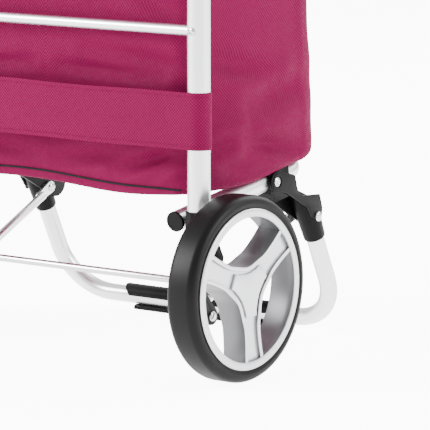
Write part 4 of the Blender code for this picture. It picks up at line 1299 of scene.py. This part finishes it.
class TROLLEY_OT_lid(bpy.types.Operator):
    """Models the lid, its strap, the buckle and the front pocket"""
    bl_idname = "trolley.lid"
    bl_label = "Lid and pocket"

    def execute(self, context):
        self.lid()
        self.pocket()
        self.straps()
        self.buckle()
        self.loops()
        return {"FINISHED"}

    def lid(self):
        """Crowned top with a skirt down the sides and front."""
        centre_y = 0.5 * (LID_LOW.y + LID_HIGH.y)
        crown = LID_HIGH.z - 0.0005

        def surface(u, t):
            point, out = LID_PLAN.at(u)
            if t <= LID_TOP_SHARE:
                share = t / LID_TOP_SHARE
                x, y = point.x * share, centre_y + (point.y - centre_y) * share
                ripple = 0.0010 * drift(x * 14.0, y * 14.0, 1.0)
                return Vector((x, y, crown + 0.004 * (1.0 - share ** 2.6) + ripple * (1.0 - share)))
            share = (t - LID_TOP_SHARE) / (1.0 - LID_TOP_SHARE)
            forward = min(max((point.y - LID_LOW.y) / 0.02, 0.0), 1.0)
            drop = share * ((LID_HIGH.z - LID_LOW.z) * forward + 0.004 * (1.0 - forward))
            ripple = drift(point.x * 18.0, point.y * 18.0, share)
            push = 0.0012 * (math.sin(math.pi * share) + ripple) * forward
            return Vector((point.x + out.x * push, point.y + out.y * push, crown - drop))

        lid = cloth("lid_cover", 220, 60, surface, LID_PLAN.total, 0.28, 0.0022)
        finish(lid, plum_fabric(), "fabric", "lid", "lid")
        folds_flat(lid)
        rim = [surface(0.03 + 0.94 * k / 400.0, LID_TOP_SHARE) for k in range(401)]
        welt = tube("lid_welt", [p + Vector((0.0, 0.0, 0.0002)) for p in rim], WELT_R)
        finish(welt, plum_fabric(), "fabric", "lid")
        folds_flat(welt)
        hem = [surface(0.10 + 0.80 * k / 400.0, 0.955) for k in range(401)]
        hem = [p + Vector((p.x, p.y - centre_y, 0.0)).normalized() * 0.0004 for p in hem]
        folds_flat(stitches("lid_stitches", hem, "lid"))

    def pocket(self):
        """Flat patch pocket with a gusset, lightly filled, and a top hem."""
        low, high = box("bag_pocket")
        depth = high.y - low.y

        def surface(u, t):
            side = min(u, 1.0 - u)
            rise = min(swell(side, 0.022), swell(t, 0.03))
            top = 0.55 + 0.45 * swell(1.0 - t, 0.08)
            ripple = 0.0012 * drift(u * 5.0, t * 4.0, 7.0)
            x = low.x + (high.x - low.x) * u
            z = low.z + (high.z - low.z) * t
            return Vector((x, BAG_HIGH.y + 0.003 + (depth - 0.002) * rise * top + ripple * rise, z))

        pocket = cloth("pocket_patch", 90, 80, surface, high.x - low.x, high.z - low.z, 0.0)
        apply_modifier(pocket, "SOLIDIFY", thickness=0.0016, offset=1.0)
        finish(pocket, plum_fabric(), "fabric", "frame", "bag_pocket")
        folds_flat(pocket)
        hem = [surface(0.02 + 0.96 * k / 120.0, 0.955) for k in range(121)]
        hem = [p + Vector((0.0, 0.0010, 0.0)) for p in hem]
        folds_flat(stitches("pocket_stitches", hem, "frame"))

    def straps(self):
        for node, body in (("lid_strap", "lid"), ("bag_strap", "frame")):
            low, high = box(node)
            front = high.y + 0.0012

            def surface(u, t, low=low, high=high, front=front):
                x = low.x + (high.x - low.x) * u
                z = low.z + (high.z - low.z) * t
                sag = 0.0012 * math.sin(math.pi * t)
                return Vector((x, front + sag + 0.0002 * math.sin(u * 6.0 * math.pi), z))

            strap = cloth(f"{node}_web", 16, 24, surface, high.x - low.x, high.z - low.z, 0.0016)
            finish(strap, black_webbing(), "webbing", body, node)
            folds_flat(strap)

    def buckle(self):
        near = BAG_HIGH.y + 0.0046
        for node, body in (("buckle_plug", "lid"), ("buckle_socket", "frame")):
            low, high = box(node)
            half, rise = high.x, high.z - low.z
            right = [(half * 0.86, 0.0), (half, 0.25), (half, 0.75), (half * 0.86, 1.0)]
            left = [(-x, share) for x, share in reversed(right)]
            outline = [(x, near, low.z + rise * share) for x, share in left[-1:] + right + left[:-1]]
            shell = plate(f"{node}_shell", outline, (0.0, 0.0072, 0.0), 0.0018, 4)
            smooth(shell)
            finish(shell, moulded_black(), "black_plastic", body, node)
            folds_flat(shell)

    def loops(self):
        """Webbing loops that tie the bag to the upper crossbar."""
        centre = middle("crossbar_upper").yz
        for side in SIDES:
            node = f"hanging_loop_{side}"
            low, high = box(node)
            wrap = 0.5 * (high.z - low.z) - 0.0008
            run = [(high.y, centre.y + wrap)] + arc(centre, wrap, 90.0, 270.0, 20)
            line = Outline(run + [(high.y, centre.y - wrap)])

            def surface(u, t, low=low, high=high, line=line):
                return Vector((low.x + (high.x - low.x) * u, *line.at(t)[0]))

            loop = cloth(f"{node}_web", 16, 40, surface, high.x - low.x, line.total, 0.0012)
            finish(loop, black_webbing(), "webbing", "frame", node)


class TROLLEY_OT_small_parts(bpy.types.Operator):
    """Gives the frame's small hidden parts their finishes"""
    bl_idname = "trolley.small_parts"
    bl_label = "Small parts"

    def execute(self, context):
        finishes = {"foot_screw": bright_steel}
        for side in SIDES:
            finishes[f"axle_nut_{side}"] = bright_steel
            finishes[f"hub_bush_{side}"] = finishes[f"axle_spacer_{side}"] = moulded_black
        for node, material in finishes.items():
            materials = frame["nodes"][node].data.materials
            materials.clear()
            materials.append(material())
        return {"FINISHED"}


class TROLLEY_OT_stage(bpy.types.Operator):
    """Sets out the floor, lights, world and camera"""
    bl_idname = "trolley.stage"
    bl_label = "Stage"

    def execute(self, context):
        self.floor()
        self.world()
        for light in LIGHTS:
            self.light(*light)
        self.camera()
        return {"FINISHED"}

    def floor(self):
        """White ground that looks brighter to the camera than the light it gives."""
        bpy.ops.mesh.primitive_circle_add(vertices=96, radius=30.0, fill_type="NGON")
        floor = newest("studio_floor")
        floor.location.z = -0.0005
        place_mesh(floor)
        white = finish_material("studio_white", (0.93, 0.93, 0.935), 0.8, 0.0, 2.0, 30.0, 0.00001,
                                0.995)
        tree = white.node_tree
        shader = tree.nodes["Principled BSDF"]
        shader.inputs["Emission Color"].default_value = (1.0, 1.0, 1.0, 1.0)
        seen = tree.nodes.new("ShaderNodeLightPath")
        strength = tree.nodes.new("ShaderNodeMapRange")
        set_inputs(strength, {"To Min": FLOOR_GLOW, "To Max": FLOOR_WHITE})
        tree.links.new(seen.outputs["Is Camera Ray"], strength.inputs["Value"])
        tree.links.new(strength.outputs["Result"], shader.inputs["Emission Strength"])
        floor.data.materials.append(white)

    def world(self):
        world = bpy.data.worlds.new("studio_world")
        world.use_nodes = True
        set_inputs(world.node_tree.nodes["Background"],
                   {"Color": (1.0, 1.0, 1.0, 1.0), "Strength": WORLD_STRENGTH})
        bpy.context.scene.world = world

    def light(self, name, place, size, power):
        bpy.ops.object.light_add(type="AREA", location=place)
        lamp = newest(name)
        lamp.data.shape = "SQUARE"
        lamp.data.size = size
        lamp.data.energy = power
        aim = LIGHT_AIM - Vector(place)
        lamp.rotation_euler = aim.to_track_quat("-Z", "Y").to_euler()

    def camera(self):
        turn = CAMERA_AIM.to_track_quat("-Z", "Y").to_euler()
        bpy.ops.object.camera_add(location=CAMERA_PLACE, rotation=turn)
        camera = newest("studio_camera")
        camera.data.lens = CAMERA_LENS
        camera.data.sensor_width = 36.0
        camera.data.clip_end = 100.0
        bpy.context.scene.camera = camera


class TROLLEY_PT_panel(bpy.types.Panel):
    """Lists the sizes, colours and pieces"""
    bl_idname = "TROLLEY_PT_panel"
    bl_label = "Shopping trolley"
    bl_space_type = "VIEW_3D"
    bl_region_type = "UI"
    bl_category = "Trolley"

    def draw(self, context):
        for group in (context.scene.trolley_sizes, context.scene.trolley_colours):
            for name in group.__annotations__:
                self.layout.prop(group, name)
        for piece in PIECES:
            self.layout.operator(piece.bl_idname)


PIECES = (TROLLEY_OT_stage, TROLLEY_OT_upright, TROLLEY_OT_folding_tubes, TROLLEY_OT_wheels,
          TROLLEY_OT_fasteners, TROLLEY_OT_mouldings, TROLLEY_OT_knuckles, TROLLEY_OT_grip,
          TROLLEY_OT_bag, TROLLEY_OT_band, TROLLEY_OT_lid, TROLLEY_OT_small_parts)
CLASSES = (TrolleySizes, TrolleyColours, *PIECES, TROLLEY_PT_panel)


def register():
    for cls in CLASSES:
        bpy.utils.register_class(cls)
    bpy.types.Scene.trolley_sizes = PointerProperty(type=TrolleySizes)
    bpy.types.Scene.trolley_colours = PointerProperty(type=TrolleyColours)


def unregister():
    del bpy.types.Scene.trolley_colours
    del bpy.types.Scene.trolley_sizes
    for cls in reversed(CLASSES):
        bpy.utils.unregister_class(cls)


def main():
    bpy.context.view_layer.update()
    register()
    for piece in PIECES:
        getattr(bpy.ops.trolley, piece.bl_idname.split(".")[1])()
    deselect()


if __name__ == "__main__":
    main()
